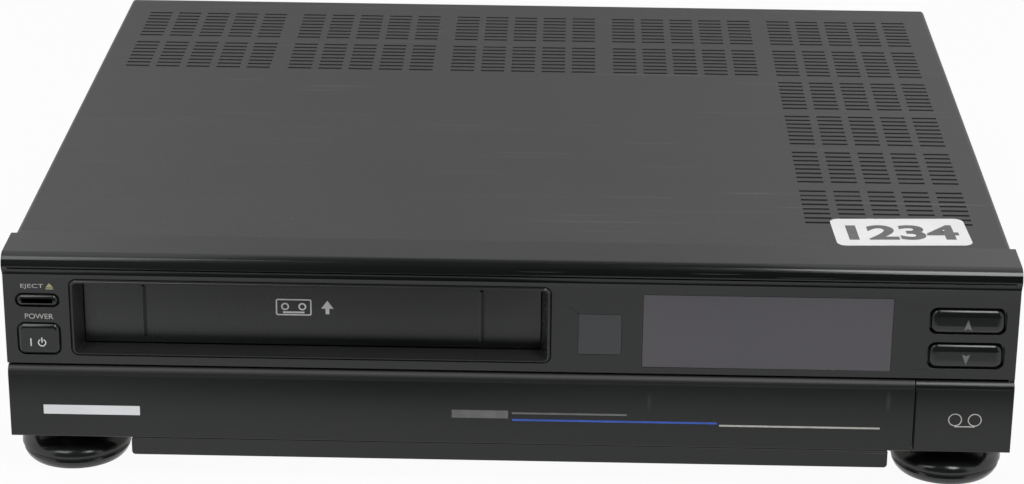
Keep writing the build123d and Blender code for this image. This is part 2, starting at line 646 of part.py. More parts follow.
def display_tube():
    """Fluorescent display: glass envelope on the display board."""
    x, z, w, h = DISPLAY
    reach, rise = w / 2 - 5, h / 2 - 4
    glass = block((x - reach, x + reach), (FACE_BACK + 3, FRONT_BOARD_D - CLEAR), (z - rise, z + rise))
    return chamfer(glass.edges().filter_by(Axis.Y), 1.5)


def front_feet():
    """Large two-tier feet: a base ring, a waist groove, a domed upper tier and a neck."""
    r, neck = FOOT_RADIUS, FOOT_NECK
    ring, waist, edge = FOOT_RING
    outline = Polyline((0, BODY_BOTTOM), (0, 0), (r - 2.5, 0), (r - 0.6, ring), (r - 1.2, waist), (r, edge))
    dome = ThreePointArc((r, edge), (r - 2.0, (edge + 2 * FOOT_DOME) / 3), (neck, FOOT_DOME))
    half = make_face(outline + dome + Polyline((neck, FOOT_DOME), (neck, BODY_BOTTOM), (0, BODY_BOTTOM)))
    foot = revolve(Plane.XZ * half, Axis.Z)
    return group(Pos(side * FOOT_X, at(FOOT_D), 0) * foot for side in (-1, 1))


def rear_feet():
    return group(
        upright(side * REAR_FOOT_X, REAR_FOOT_D, 0, BODY_BOTTOM, REAR_FOOT_RADIUS - 1.5, REAR_FOOT_RADIUS)
        for side in (-1, 1))


def base_pan():
    half = INNER_HALF - CLEAR
    low = BODY_BOTTOM
    outer = rounded(2 * half, 2 * PAN_FLANGE, 1.8, 0, low + PAN_FLANGE)
    inner = rounded(2 * (half - PAN), 2 * PAN_FLANGE, 0.6, 0, low + PAN_FLANGE + PAN)
    tray = outer - inner - Pos(0, low + 2 * PAN_FLANGE) * Rectangle(WIDTH, 2 * PAN_FLANGE)
    pan = along_d(tray, PAN_START, REAR_PANEL_D)
    for i in range(6):
        for x in (TRANSFORMER_X - 63, TRANSFORMER_X + 2):
            d = TRANSFORMER_D - 98 + 9 * i
            pan -= block((x - 24, x + 24), (d, d + 3), (0, BODY_BOTTOM + 2 * PAN))
    return pan - [lying(-half - 1, half + 1, d, SCREW_Z, SCREW_SHANK) for d in SIDE_SCREW_DS]


def cover_screws():
    """Pan-head screws: two in each side of the cover, three in the rear panel."""
    radius, height = SCREW_HEAD
    face = COVER_WIDTH / 2
    back = REAR_PANEL_D + SHEET
    screws = []
    for side in (-1, 1):
        for d in SIDE_SCREW_DS:
            head = lying(*sorted((side * face, side * (face + height))), d, SCREW_Z, radius)
            shank = lying(*sorted((side * (face - 5), side * (face + height / 2))), d, SCREW_Z, SCREW_SHANK)
            screws.append(head + shank)
    for x in REAR_SCREW_XS:
        head = pointing_back(x, REAR_SCREW_Z, back, back + height, radius)
        shank = pointing_back(x, REAR_SCREW_Z, REAR_PANEL_D - 5, back + height / 2, SCREW_SHANK)
        screws.append(head + shank)
    return group(screws)


# ---------------------------------------------------------------- rear connectors
def scart_outline(grow=0.0):
    w, h = SCART_SIZE[0] + 2 * grow, SCART_SIZE[1] + 2 * grow
    cut = 5.0
    return polygon([
        (-w / 2, -h / 2), (w / 2 - cut, -h / 2), (w / 2, -h / 2 + cut), (w / 2, h / 2), (-w / 2, h / 2),
    ])


def rear_panel():
    half = INNER_HALF - BEND_RADIUS
    top = COVER_TOP - SHEET - CLEAR
    panel = block((-half, half), (REAR_PANEL_D, REAR_PANEL_D + SHEET), (BODY_BOTTOM, top))
    holes = [Pos(x, SCART_Z) * scart_outline(CLEAR) for x in SCART_XS]
    holes += [Pos(x, AERIAL_Z) * Circle(7.0) for x in AERIAL_X]
    holes += [Pos(x, AUDIO_Z) * Circle(5.2) for x in AUDIO_XS]
    holes.append(Pos(INLET_X, INLET_Z) * Rectangle(24 + 2 * CLEAR, 16 + 2 * CLEAR))
    holes += [Pos(x, REAR_SCREW_Z) * Circle(SCREW_SHANK) for x in REAR_SCREW_XS]
    for hole in holes:
        panel -= along_d(hole, REAR_PANEL_D - 1, REAR_PANEL_D + 2 * SHEET)
    return panel


def scart_sockets():
    """Audio and video sockets: skirted shell, contact block and a hollow between them."""
    sockets = []
    back = REAR_PANEL_D - CLEAR
    for x in SCART_XS:
        shell = along_d(Pos(x, SCART_Z) * scart_outline(), REAR_PANEL_D - 16, REAR_PANEL_D + 5)
        flange = block((x - 28, x + 28), (back - 2, back), (SCART_Z - 11, SCART_Z + 11))
        well = along_d(Pos(x, SCART_Z) * scart_outline(-1.2), REAR_PANEL_D - 6, REAR_PANEL_D + 6)
        leg = block((x - 20, x + 20), (REAR_PANEL_D - 16, REAR_PANEL_D - 8), (BOARD_TOP, SCART_Z))
        sockets.append(shell + flange - well + leg)
    return group(sockets)


def aerial_block():
    """Tuner and modulator can with the aerial input and output on its rear face."""
    front, back = REAR_PANEL_D - 48, REAR_PANEL_D - 0.3
    x_low, x_high = AERIAL_X[0] - 16, AERIAL_X[1] + 16
    can = block((x_low, x_high), (front, back), (BOARD_TOP, AERIAL_Z + 16))
    can -= block((x_low + 1, x_high - 1), (front + 1, back - 1), (BOARD_TOP - 1, AERIAL_Z + 15))
    female, male = AERIAL_X
    end = DEPTH - 1.0
    can += pointing_back(female, AERIAL_Z, back - 1, end, 6.4)
    can -= pointing_back(female, AERIAL_Z, end - 9, end + 1, COAX_BORE)
    can += pointing_back(male, AERIAL_Z, back - 1, end, COAX_PIN)
    can -= pointing_back(male, AERIAL_Z, end - 7, end + 1, COAX_PIN - 0.9)
    return can + pointing_back(male, AERIAL_Z, end - 8, end - 1, 1.2)


def audio_sockets():
    """Phono sockets on one moulded block."""
    low, high = AUDIO_XS[0] - 8, AUDIO_XS[1] + 8
    body = block((low, high), (REAR_PANEL_D - 12, REAR_PANEL_D - 0.3), (BOARD_TOP, AUDIO_Z + 8))
    for x in AUDIO_XS:
        body += pointing_back(x, AUDIO_Z, REAR_PANEL_D - 1, DEPTH - 1.0, RCA_RADIUS)
        body -= pointing_back(x, AUDIO_Z, DEPTH - 8, DEPTH, 1.6)
    return body


def mains_inlet():
    """Two-pole appliance inlet: well with two contact pins."""
    outer = Pos(INLET_X, INLET_Z) * Rectangle(24, 16)
    flange = Pos(INLET_X, INLET_Z) * Rectangle(30, 22)
    body = along_d(outer, REAR_PANEL_D - 14, REAR_PANEL_D + 1.8)
    body += along_d(flange, REAR_PANEL_D - 2, REAR_PANEL_D - CLEAR)
    body -= along_d(rounded(18.0, 9.6, 4.7, INLET_X, INLET_Z), REAR_PANEL_D - 10, REAR_PANEL_D + 3)
    for side in (-1, 1):
        body += pointing_back(INLET_X + side * 4.3, INLET_Z, REAR_PANEL_D - 11, REAR_PANEL_D - 1, 1.2)
    leg = block((INLET_X - 8, INLET_X + 8), (REAR_PANEL_D - 14, REAR_PANEL_D - 10.5), (PAN_TOP, INLET_Z))
    return body + leg


# ---------------------------------------------------------------- boards and supply
def main_board():
    """L-shaped board: right of the deck and behind it."""
    outline = polygon([
        (BAY_LEFT, at(BOARD_START)), (BOARD_RIGHT, at(BOARD_START)), (BOARD_RIGHT, at(BAY_END)),
        (STRIP_RIGHT, at(BAY_END)), (STRIP_RIGHT, at(BOARD_END)), (DECK_LEFT, at(BOARD_END)),
        (DECK_LEFT, at(STRIP_START)), (BAY_LEFT, at(STRIP_START)),
    ])
    return Pos(0, 0, BOARD_BOTTOM) * extrude(outline, BOARD, dir=(0, 0, 1))


def beside_deck(across, along):
    """A place on the board beside the deck, from shares of that part's width and length."""
    return BAY_LEFT + across * (BOARD_RIGHT - BAY_LEFT), BOARD_START + along * (BAY_END - BOARD_START)


def behind_deck(x, along):
    """A place on the board behind the deck, from X and a share of that part's length."""
    return x, STRIP_START + along * (BOARD_END - STRIP_START)


def on_board(place, width, depth, height, inset=0, foot=0):
    """A box on the main board about a place, or the hollow of one."""
    half_w, half_d = width / 2 - inset, depth / 2 - inset
    x, d = place
    low, high = BOARD_TOP - foot, BOARD_TOP + height - inset
    return block((x - half_w, x + half_w), (d - half_d, d + half_d), (low, high))


def standoff_places():
    inset = 6.5
    front, back = BOARD_START + inset, BOARD_END - inset
    left, right = DECK_LEFT + inset, BOARD_RIGHT - inset
    bay, strip = BAY_LEFT + inset, STRIP_START + inset
    return [(bay, front), (right, front), (right, BAY_END - inset), (bay, strip), (left, strip),
            (left, back), (STRIP_RIGHT - inset, back), (AUDIO_XS[0] - 54, back)]


def power_transformer():
    """Laminated core with its winding and mounting feet."""
    x, d = TRANSFORMER_X, TRANSFORMER_D
    core = block((x - 28, x + 28), (d - 16, d + 16), (PAN_TOP + 6, PAN_TOP + 50))
    winding = block((x - 18, x + 18), (d - 23, d + 23), (PAN_TOP + 13, PAN_TOP + 43))
    winding = fillet(winding.edges().filter_by(Axis.Z), 6)
    feet = block((x - 36, x + 36), (d - 12, d + 12), (PAN_TOP, PAN_TOP + 1.5))
    legs = block((x - 28, x + 28), (d - 10, d + 10), (PAN_TOP, PAN_TOP + 7))
    return core + winding + feet + legs


def heat_sink():
    """Extruded fins for the regulators."""
    x, d = BOARD_RIGHT - 16.5, BAY_END - 51.0
    fins = 6
    profile = Pos(x, 0) * Rectangle(4, 60)
    for i in range(fins):
        profile += Pos(x - 9, -26 + i * 10.4) * Rectangle(16, 1.6)
    return Pos(0, at(d), BOARD_TOP) * extrude(profile, 36)


def capacitors():
    """Electrolytic capacitors: place, radius, height."""
    cans = [
        (beside_deck(0.16, 0.22), 9, 30), (beside_deck(0.32, 0.27), 6, 22), (beside_deck(0.48, 0.18), 8, 28),
        (beside_deck(0.20, 0.66), 5, 16), (beside_deck(0.67, 0.49), 6, 20), (beside_deck(0.80, 0.35), 8, 26),
        (behind_deck(-180, 0.62), 5, 16), (behind_deck(90, 0.5), 5, 14),
    ]
    return group(upright(x, d, BOARD_TOP, BOARD_TOP + h, r) for (x, d), r, h in cans)


def circuit_chips():
    """Integrated circuits: place, width, depth."""
    chips = [
        (beside_deck(0.23, 0.40), 40, 14), (beside_deck(0.61, 0.31), 36, 10),
        (beside_deck(0.23, 0.53), 30, 12), (beside_deck(0.42, 0.74), 40, 14),
        (beside_deck(0.54, 0.64), 30, 10), (behind_deck(-170, 0.30), 36, 12),
        (behind_deck(-65, 0.35), 42, 14), (behind_deck(40, 0.12), 30, 10),
    ]
    return group(on_board(place, width, depth, 4) for place, width, depth in chips)


def shield_cans():
    """Screening cans over the head amplifier and the sound circuits: place, width, depth, height."""
    places = [((-120, REAR_PANEL_D - 36), 60, 22, 18), ((-20, REAR_PANEL_D - 39), 40, 26, 20),
              (beside_deck(0.42, 0.885), 50, 30, 18)]
    return group(on_board(*can) - on_board(*can, inset=SHEET, foot=SHEET) for can in places)


# ---------------------------------------------------------------- tape deck
def guide_direction():
    dx, dd = GUIDE_END[0] - GUIDE_START[0], GUIDE_END[1] - GUIDE_START[1]
    length = math.hypot(dx, dd)
    return dx / length, dd / length, length


def pinch_rest():
    angle = math.radians(PINCH_REST)
    return (PINCH_PIVOT[0] + PINCH_ARM * math.cos(angle), PINCH_PIVOT[1] + PINCH_ARM * math.sin(angle))


def shaft_places():
    """Fixed steel shafts, and the posts on which a loaded cassette rests: offset, d, top Z."""
    half = REEL_SPACING / 2
    reel, pinch, cam = DECK_TOP + 15.5, DECK_TOP + 7.5, DECK_TOP + 12.5
    shafts = [(-half, REEL_D, reel), (half, REEL_D, reel), (0.0, REEL_D - 2 + IDLER_ARM, REEL_SEAT - 0.5),
              (PINCH_PIVOT[0], PINCH_PIVOT[1], pinch), (CAM_X, CAM_D, cam)]
    corners = ((85.0, DECK_START + 5), (70.0, 126.0))
    rests = [(side * x, d, REEL_SEAT) for side in (-1, 1) for x, d in corners]
    return shafts + rests


def deck_plate():
    plate = block((DECK_LEFT, DECK_RIGHT), (DECK_START, DECK_END), (DECK_BOTTOM, DECK_TOP))
    plate = fillet(plate.edges().filter_by(Axis.Z), 6)
    dx, dd, length = guide_direction()
    middle = ((GUIDE_START[0] + GUIDE_END[0]) / 2, (GUIDE_START[1] + GUIDE_END[1]) / 2)
    for side in (-1, 1):
        angle = math.degrees(math.atan2(dd, side * dx))
        slot = Rot(0, 0, angle) * SlotCenterToCenter(length + 2, GUIDE_SLOT)
        plate -= Pos(DECK_X + side * middle[0], at(middle[1]), 0) * extrude(slot, 2 * DECK_TOP)
    for x, d, _ in shaft_places():
        plate -= upright(DECK_X + x, d, 0, 2 * DECK_TOP, SHAFT)
    plate -= upright(DECK_X + CAPSTAN_X, CAPSTAN_D, 0, 2 * DECK_TOP, 6.2)
    return plate


def deck_shafts():
    return group(upright(DECK_X + x, d, DECK_BOTTOM, top, SHAFT) for x, d, top in shaft_places())


def pillars():
    """Turned posts between the pan and the main board, and between the pan and the deck."""
    left, right = DECK_LEFT + 10, DECK_RIGHT - 10
    deck = [(x, d) for x in (left, right) for d in (DECK_START + 8, DECK_END - 8)]
    posts = [upright(x, d, PAN_TOP, BOARD_BOTTOM, 3.5) for x, d in standoff_places()]
    return group(posts + [upright(x, d, PAN_TOP, DECK_BOTTOM, 3.5) for x, d in deck])


def drum_place():
    """Puts a shape built about the drum's own axis, from the deck's top, in its tilted place."""
    return Pos(DECK_X, at(DRUM_D), DECK_TOP) * Rot(DRUM_TILT, 0, 0)


def lower_drum():
    """Fixed drum on its wedge foot, with the shaft of the rotating drum."""
    body = Pos(0, 0, (DRUM_SPLIT - 10) / 2) * Cylinder(DRUM_RADIUS, DRUM_SPLIT + 10)
    body += Pos(0, 0, DRUM_SPLIT + UPPER_DRUM / 2) * Cylinder(DRUM_SHAFT, UPPER_DRUM)
    foot = Pos(0, 0, -5) * Box(40, 2 * DRUM_RADIUS + 14, 16)
    below = Pos(DECK_X, at(DRUM_D), DECK_TOP - 50) * Box(200, 200, 100)
    return drum_place() * (body + foot) - below


def upper_drum():
    """Rotating head drum with its tip windows."""
    base = DRUM_SPLIT + DRUM_GAP
    body = Pos(0, 0, base + UPPER_DRUM / 2) * Cylinder(DRUM_RADIUS, UPPER_DRUM)
    body -= Pos(0, 0, base + UPPER_DRUM) * Cylinder(DRUM_RADIUS - 6, 6)
    body -= Pos(0, 0, base + UPPER_DRUM / 2) * Cylinder(DRUM_SHAFT + RUN, 2 * UPPER_DRUM)
    body += Pos(0, 0, base + UPPER_DRUM - 1.5) * (Cylinder(12, 3) - Cylinder(DRUM_SHAFT + RUN, 3))
    for i in range(4):
        body -= Rot(0, 0, 90 * i + 20) * Pos(DRUM_RADIUS, 0, base) * Box(3, 4, 3)
    return drum_place() * body


def reel_table(side):
    """Reel table: rim, seat and a three-keyed spindle, on its fixed shaft."""
    low = DECK_TOP + 1.0
    bore = SHAFT + RUN
    body = turned([
        (bore, low), (8, low), (8, low + 1), (REEL_RIM, low + 1), (REEL_RIM, low + 3.4), (12, low + 3.4),
        (12, REEL_SEAT - 0.2), (SPINDLE_RADIUS, REEL_SEAT - 0.2), (SPINDLE_RADIUS, SPINDLE_TOP - 3),
        (2.2, SPINDLE_TOP), (bore, SPINDLE_TOP),
    ], 0, DEPTH / 2)
    key_top = SPINDLE_TOP - 4
    key = Pos(SPINDLE_RADIUS, 0, (REEL_SEAT + key_top) / 2) * Box(3.2, 1.4, key_top - REEL_SEAT)
    body += [Rot(0, 0, 120 * i) * key for i in range(3)]
    return Pos(DECK_X + side * REEL_SPACING / 2, at(REEL_D), 0) * body


def idler_arm():
    pivot_d = REEL_D - 2 + IDLER_ARM
    low = DECK_TOP + 6.0
    arm = SlotCenterToCenter(IDLER_ARM, 8)
    plate = Pos(DECK_X, at(pivot_d - IDLER_ARM / 2), low) * extrude(Rot(0, 0, 90) * arm, 1.4)
    plate += upright(DECK_X, pivot_d, DECK_TOP + CLEAR, low + 1.4, 3.4)
    plate += upright(DECK_X, pivot_d - IDLER_ARM, low - 4.2, low + 0.5, 2.0)
    return plate - upright(DECK_X, pivot_d, 0, 100, SHAFT + RUN)


def idler_wheel():
    """Rubber-tyred wheel that drives one reel table or the other."""
    low = DECK_TOP + 1.8
    return turned([
        (2.0 + RUN, low), (5, low), (5, low + 0.6), (IDLER_RADIUS, low + 0.6), (IDLER_RADIUS, low + 3.4),
        (5, low + 3.4), (5, low + 4.0), (2.0 + RUN, low + 4.0),
    ], DECK_X, REEL_D - 2)


def capstan():
    """Capstan shaft with its flywheel rotor under the deck."""
    low = PAN_TOP + 2.5
    return turned([
        (0, low), (FLYWHEEL_RADIUS, low), (FLYWHEEL_RADIUS, low + 7), (6, low + 7), (6, low + 7.6),
        (CAPSTAN_SHAFT, low + 7.6), (CAPSTAN_SHAFT, CAPSTAN_TOP - 0.6), (CAPSTAN_SHAFT - 0.6, CAPSTAN_TOP),
        (0, CAPSTAN_TOP),
    ], DECK_X + CAPSTAN_X, CAPSTAN_D)


def capstan_bearing():
    """Stator plate and bearing sleeve, hung from the underside of the deck."""
    top = DECK_BOTTOM - 1.0
    x = DECK_X + CAPSTAN_X
    body = turned([
        (CAPSTAN_SHAFT + RUN, top - 1.2), (15, top - 1.2), (15, top), (6, top), (6, DECK_TOP + 1.5),
        (CAPSTAN_SHAFT + RUN, DECK_TOP + 1.5),
    ], x, CAPSTAN_D)
    for i in range(3):
        angle = math.radians(90 + 120 * i)
        dx, dd = 11.5 * math.cos(angle), 11.5 * math.sin(angle)
        body += upright(x + dx, CAPSTAN_D + dd, top - 0.5, DECK_BOTTOM, 2.5)
    return body


def pinch_arm():
    x, d = PINCH_PIVOT
    roller_x, roller_d = pinch_rest()
    low = DECK_TOP + 2.0
    angle = PINCH_REST
    arm = Rot(0, 0, angle) * Pos(PINCH_ARM / 2, 0) * SlotCenterToCenter(PINCH_ARM, 8)
    plate = Pos(DECK_X + x, at(d), low) * extrude(arm, 2)
    plate += upright(DECK_X + x, d, DECK_TOP + CLEAR, low + 5, 4)
    plate += upright(DECK_X + roller_x, roller_d, low + 1, TAPE_TOP + 1, ROLLER_AXLE)
    return plate - upright(DECK_X + x, d, 0, 100, SHAFT + RUN)


def pinch_roller():
    x, d = pinch_rest()
    low = DECK_TOP + 4.4
    return turned([
        (ROLLER_AXLE + RUN, low), (ROLLER_RADIUS, low + 1), (ROLLER_RADIUS, TAPE_TOP - 1),
        (ROLLER_AXLE + RUN, TAPE_TOP),
    ], DECK_X + x, d)


def tape_guide(side):
    """Guide base with its roller post and slant pin, held in the deck's slot."""
    x, d = DECK_X + side * GUIDE_START[0], GUIDE_START[1]
    stem = GUIDE_SLOT / 2 - RUN
    body = block((x - 5, x + 5), (d - 7, d + 7), (DECK_TOP + CLEAR, DECK_TOP + 3))
    body += upright(x, d, DECK_BOTTOM - 1.6, DECK_TOP + 1, stem)
    body += upright(x, d, DECK_BOTTOM - 1.6, DECK_BOTTOM - CLEAR, stem + 1.6)
    body += upright(x, d + 3, DECK_TOP + 2, TAPE_TOP, GUIDE_POST)
    body += upright(x, d + 3, TAPE_TOP - 2, TAPE_TOP - 0.5, GUIDE_POST + 0.8)
    return body + upright(x, d - 4, DECK_TOP + 2, TAPE_TOP - 4, 1.2)


def cam_gear():
    """Loading gear: spur teeth round a hub, driven by the motor's worm."""
    points = []
    for i in range(CAM_TEETH):
        for share, radius in ((0.05, -1.4), (0.32, 0.8), (0.55, 0.8), (0.82, -1.4)):
            a = 2 * math.pi * (i + share) / CAM_TEETH
            points.append(((CAM_RADIUS + radius) * math.cos(a), (CAM_RADIUS + radius) * math.sin(a)))
    teeth = Pos(0, 0, motor_axis()[1] - 2) * extrude(polygon(points), 4, dir=(0, 0, 1))
    x = DECK_X + CAM_X
    hub = upright(x, CAM_D, DECK_TOP + CLEAR, DECK_TOP + 11, 6)
    return Pos(x, at(CAM_D), 0) * teeth + hub - upright(x, CAM_D, 0, 100, SHAFT + RUN)


def motor_axis():
    """Depth and Z of the loading motor's shaft."""
    return CAM_D + CAM_RADIUS + 0.8 + CLEAR + WORM_RADIUS, DECK_TOP + 7.5


def loading_motor():
    d, z = motor_axis()
    x = DECK_X + CAM_X + 12
    can = lying(x, x + 24, d, z, 7.2)
    foot = block((x, x + 24), (d - 6, d + 6), (DECK_TOP, z - 4))
    return can + foot + lying(x - 24, x + 1, d, z, 1.0)


def loading_worm():
    d, z = motor_axis()
    x = DECK_X + CAM_X
    return lying(x - 9, x + 9, d, z, WORM_RADIUS) - lying(x - 20, x + 20, d, z, 1.0 + RUN)


def erase_head():
    x, d = DECK_X - 60, 172.0
    stand = block((x - 8, x + 8), (d - 6, d + 6), (DECK_TOP, DECK_TOP + 2))
    return stand + block((x - 5, x + 5), (d - 4, d + 4), (DECK_TOP + 1, TAPE_TOP - 1))


def audio_head():
    x, d = DECK_X + 66, 192.0
    stand = block((x - 10, x + 8), (d - 8, d + 8), (DECK_TOP, DECK_TOP + 3))
    return stand + Pos(x, at(d), DECK_TOP + 12) * Rot(0, 0, 30) * Box(12, 9, 21)


def carriage_frame():
    """Two side plates with level guide slots, tied by bridges."""
    slot_z = (SLIDE_PIN_Z - RIDER - RUN, SLIDE_PIN_Z + RIDER + RUN)
    slot_d = (RIDER_DS[0] - RIDER - CLEAR, RIDER_DS[1] + CARRIAGE_IN + RIDER + CLEAR)
    reach = SIDE_PLATE + PLATE
    body = block((DECK_X - reach, DECK_X + reach), (98.0, 112.0), (CARRIAGE_TOP - PLATE, CARRIAGE_TOP))
    for side in (-1, 1):
        x = sorted((DECK_X + side * SIDE_PLATE, DECK_X + side * (SIDE_PLATE + PLATE)))
        foot = sorted((DECK_X + side * SIDE_PLATE, DECK_X + side * (SIDE_PLATE + 10)))
        plate = block(x, (CARRIAGE_START, CARRIAGE_END), (DECK_TOP + 6, CARRIAGE_TOP))
        plate -= block((x[0] - 1, x[1] + 1), slot_d, slot_z)
        for d in (CARRIAGE_START + 6, CARRIAGE_END - 14):
            plate += block(x, (d, d + 12), (DECK_TOP, DECK_TOP + 8))
            plate += block(foot, (d, d + 12), (DECK_TOP, DECK_TOP + PLATE))
        body += plate
    return body


def basket_slides():
    """Sliding bracket: its pins run in the side plates, and its upright slots guide the basket."""
    inner, outer = BASKET_HALF + SLIDE_GAP, SIDE_PLATE - SLIDE_GAP
    top = CARRIAGE_TOP - PLATE - CLEAR
    span = (BASKET_START + 2, BASKET_END - 2)
    body = block((DECK_X - outer, DECK_X + outer), (span[0] + 12, span[1] - 12), (top - 1, top))
    slot_z = (RIDER_Z - CARRIAGE_DROP - RIDER - CLEAR, RIDER_Z + RIDER + CLEAR)
    for side in (-1, 1):
        x = sorted((DECK_X + side * inner, DECK_X + side * outer))
        plate = block(x, span, (slot_z[0] - 2, top))
        for d in RIDER_DS:
            plate -= block((x[0] - 1, x[1] + 1), (d - RIDER - RUN, d + RIDER + RUN), slot_z)
            pin = sorted((DECK_X + side * (inner + 0.2), DECK_X + side * (SIDE_PLATE + PLATE + 1)))
            plate += lying(*pin, d, SLIDE_PIN_Z, RIDER)
        body += plate
    return body


def cassette_basket():
    """Sheet-metal holder: side channels, top plate with spring tongues, stops and riders."""
    half, sheet = BASKET_HALF, 1.0
    height = BASKET_TOP - BASKET_BOTTOM
    z = (BASKET_TOP + BASKET_BOTTOM) / 2
    hollow = Rectangle(2 * (half - sheet), height - 2 * sheet)
    profile = Pos(DECK_X, z) * (Rectangle(2 * half, height) - hollow)
    profile -= Pos(DECK_X, BASKET_BOTTOM) * Rectangle(2 * (half - BASKET_LEDGE), 3 * sheet)
    body = along_d(profile, BASKET_START, BASKET_END)
    for side in (-1, 1):
        x = DECK_X + side * 50
        body -= block((x - 12, x + 12), (BASKET_START + 8, BASKET_END - 8), (BASKET_TOP - 2, BASKET_TOP + 1))
        body += block((x - 8, x + 8), (BASKET_START + 7, BASKET_END - 12), (BASKET_TOP - sheet, BASKET_TOP))
        stop = sorted((DECK_X + side * (half - BASKET_LEDGE), DECK_X + side * (half - 0.5)))
        body += block(stop, (BASKET_END - sheet, BASKET_END), (BASKET_BOTTOM, BASKET_BOTTOM + 7))
        for d in RIDER_DS:
            pin = sorted((DECK_X + side * (half - 0.5), DECK_X + side * (SIDE_PLATE - SLIDE_GAP + 0.2)))
            body += lying(*pin, d, RIDER_Z, RIDER)
    return body


# ---------------------------------------------------------------- all pieces
def pieces():
    made = {
        "base_pan": base_pan, "top_cover": top_cover, "front_bezel": front_bezel, "slot_frame": slot_frame,
        "display_window": lambda: window(DISPLAY), "remote_window": lambda: window(REMOTE),
        "display_tube": display_tube, "front_boards": front_boards, "front_switches": front_switches,
        "front_feet": front_feet, "rear_feet": rear_feet, "rear_panel": rear_panel,
        "scart_sockets": scart_sockets, "aerial_block": aerial_block, "audio_sockets": audio_sockets,
        "mains_inlet": mains_inlet, "cover_screws": cover_screws, "main_board": main_board,
        "power_transformer": power_transformer, "heat_sink": heat_sink,
        "capacitors": capacitors, "circuit_chips": circuit_chips, "shield_cans": shield_cans,
        "deck_plate": deck_plate, "pillars": pillars, "deck_shafts": deck_shafts,
        "lower_drum": lower_drum, "capstan_bearing": capstan_bearing, "erase_head": erase_head,
        "audio_head": audio_head, "carriage_frame": carriage_frame, "loading_motor": loading_motor,
        "front_door": front_door, "door_hinge_pins": door_hinge_pins, "cassette_flap": cassette_flap,
        "eject_button": lambda: face_key(EJECT, 2.4), "power_button": lambda: face_key(POWER, 2.6),
        "channel_up_button": lambda: face_key(CHANNEL_UP, 3.0),
        "channel_down_button": lambda: face_key(CHANNEL_DOWN, 3.0),
        "tracking_knob": tracking_knob, "upper_drum": upper_drum, "capstan": capstan,
        "supply_reel": lambda: reel_table(-1), "takeup_reel": lambda: reel_table(1),
        "idler_arm": idler_arm, "idler_wheel": idler_wheel,
        "pinch_arm": pinch_arm, "pinch_roller": pinch_roller,
        "supply_guide": lambda: tape_guide(-1), "takeup_guide": lambda: tape_guide(1),
        "cam_gear": cam_gear, "loading_worm": loading_worm, "cassette_basket": cassette_basket,
        "basket_slides": basket_slides,
    }
    for name, x in zip(DECK_KEYS, deck_key_xs()):
        made[name] = lambda x=x: deck_key(x)
    return made


for piece_name, make in pieces().items():
    save(piece_name, make())
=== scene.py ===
# %% [markdown]
# # Dressing a video cassette recorder
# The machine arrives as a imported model: about sixty nodes, each already in
# its place, in metres. The row frame has X to the right, Y from the front to
# the rear and Z up, and the floor is at Z = 0. This lesson leaves those
# places alone. It sets up a small studio, mixes the finishes, models the
# pieces whose shape wants more care than the plain solids give, and prints
# the small marks on the front.

# %% Load the machine and keep its box
import json
import math

import bpy
from mathutils import Matrix, Vector

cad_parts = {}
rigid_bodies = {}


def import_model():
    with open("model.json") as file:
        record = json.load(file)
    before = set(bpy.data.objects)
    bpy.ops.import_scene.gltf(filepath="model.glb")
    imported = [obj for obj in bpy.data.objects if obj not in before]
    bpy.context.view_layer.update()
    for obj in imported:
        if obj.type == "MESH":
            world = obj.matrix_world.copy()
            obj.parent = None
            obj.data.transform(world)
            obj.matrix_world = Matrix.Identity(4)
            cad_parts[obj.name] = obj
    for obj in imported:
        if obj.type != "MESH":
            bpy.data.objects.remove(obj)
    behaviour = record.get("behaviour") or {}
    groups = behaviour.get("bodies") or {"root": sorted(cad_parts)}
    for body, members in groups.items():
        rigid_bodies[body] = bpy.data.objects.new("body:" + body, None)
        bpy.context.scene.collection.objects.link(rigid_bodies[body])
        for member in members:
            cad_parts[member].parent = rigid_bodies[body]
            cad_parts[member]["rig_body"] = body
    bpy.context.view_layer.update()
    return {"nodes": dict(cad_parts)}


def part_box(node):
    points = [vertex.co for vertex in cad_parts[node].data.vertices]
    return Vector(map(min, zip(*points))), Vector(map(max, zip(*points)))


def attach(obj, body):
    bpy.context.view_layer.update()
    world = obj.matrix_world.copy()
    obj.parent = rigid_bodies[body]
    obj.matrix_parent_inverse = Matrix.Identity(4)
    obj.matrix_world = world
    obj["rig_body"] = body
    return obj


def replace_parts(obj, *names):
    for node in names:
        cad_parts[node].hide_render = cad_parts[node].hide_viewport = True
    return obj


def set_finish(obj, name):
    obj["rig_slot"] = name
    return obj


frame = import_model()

nodes = frame["nodes"]

# %% [markdown]
# ## The camera
# The machine is seen from the front and a little above. A long lens keeps
# its sides almost parallel, as in a catalogue picture. The camera could be
# aimed with a tracking constraint, but three angles are easier to read:
# it is turned a touch to the left, pitched down, and rolled half a degree.

# %% Place the camera
yaw, pitch, roll = (math.radians(angle) for angle in (-1.17, 21.53, 0.52))
ahead = Vector((math.sin(yaw) * math.cos(pitch), math.cos(yaw) * math.cos(pitch), -math.sin(pitch)))
level = Vector((math.cos(yaw), -math.sin(yaw), 0))
above = level.cross(ahead)
rightward = math.cos(roll) * level + math.sin(roll) * above
upward = math.cos(roll) * above - math.sin(roll) * level

lens = bpy.data.cameras.new("studio_camera")
lens.lens = 101.8
camera = bpy.data.objects.new("studio_camera", lens)
bpy.context.scene.collection.objects.link(camera)
turn = Matrix((rightward, upward, -ahead)).transposed().to_4x4()
camera.matrix_world = Matrix.Translation((0.0231, -1.2825, 0.5432)) @ turn
bpy.context.scene.camera = camera
bpy.context.scene.view_settings.view_transform = "Standard"
print("lens", lens.lens, "mm, camera at", [round(v, 3) for v in camera.location])

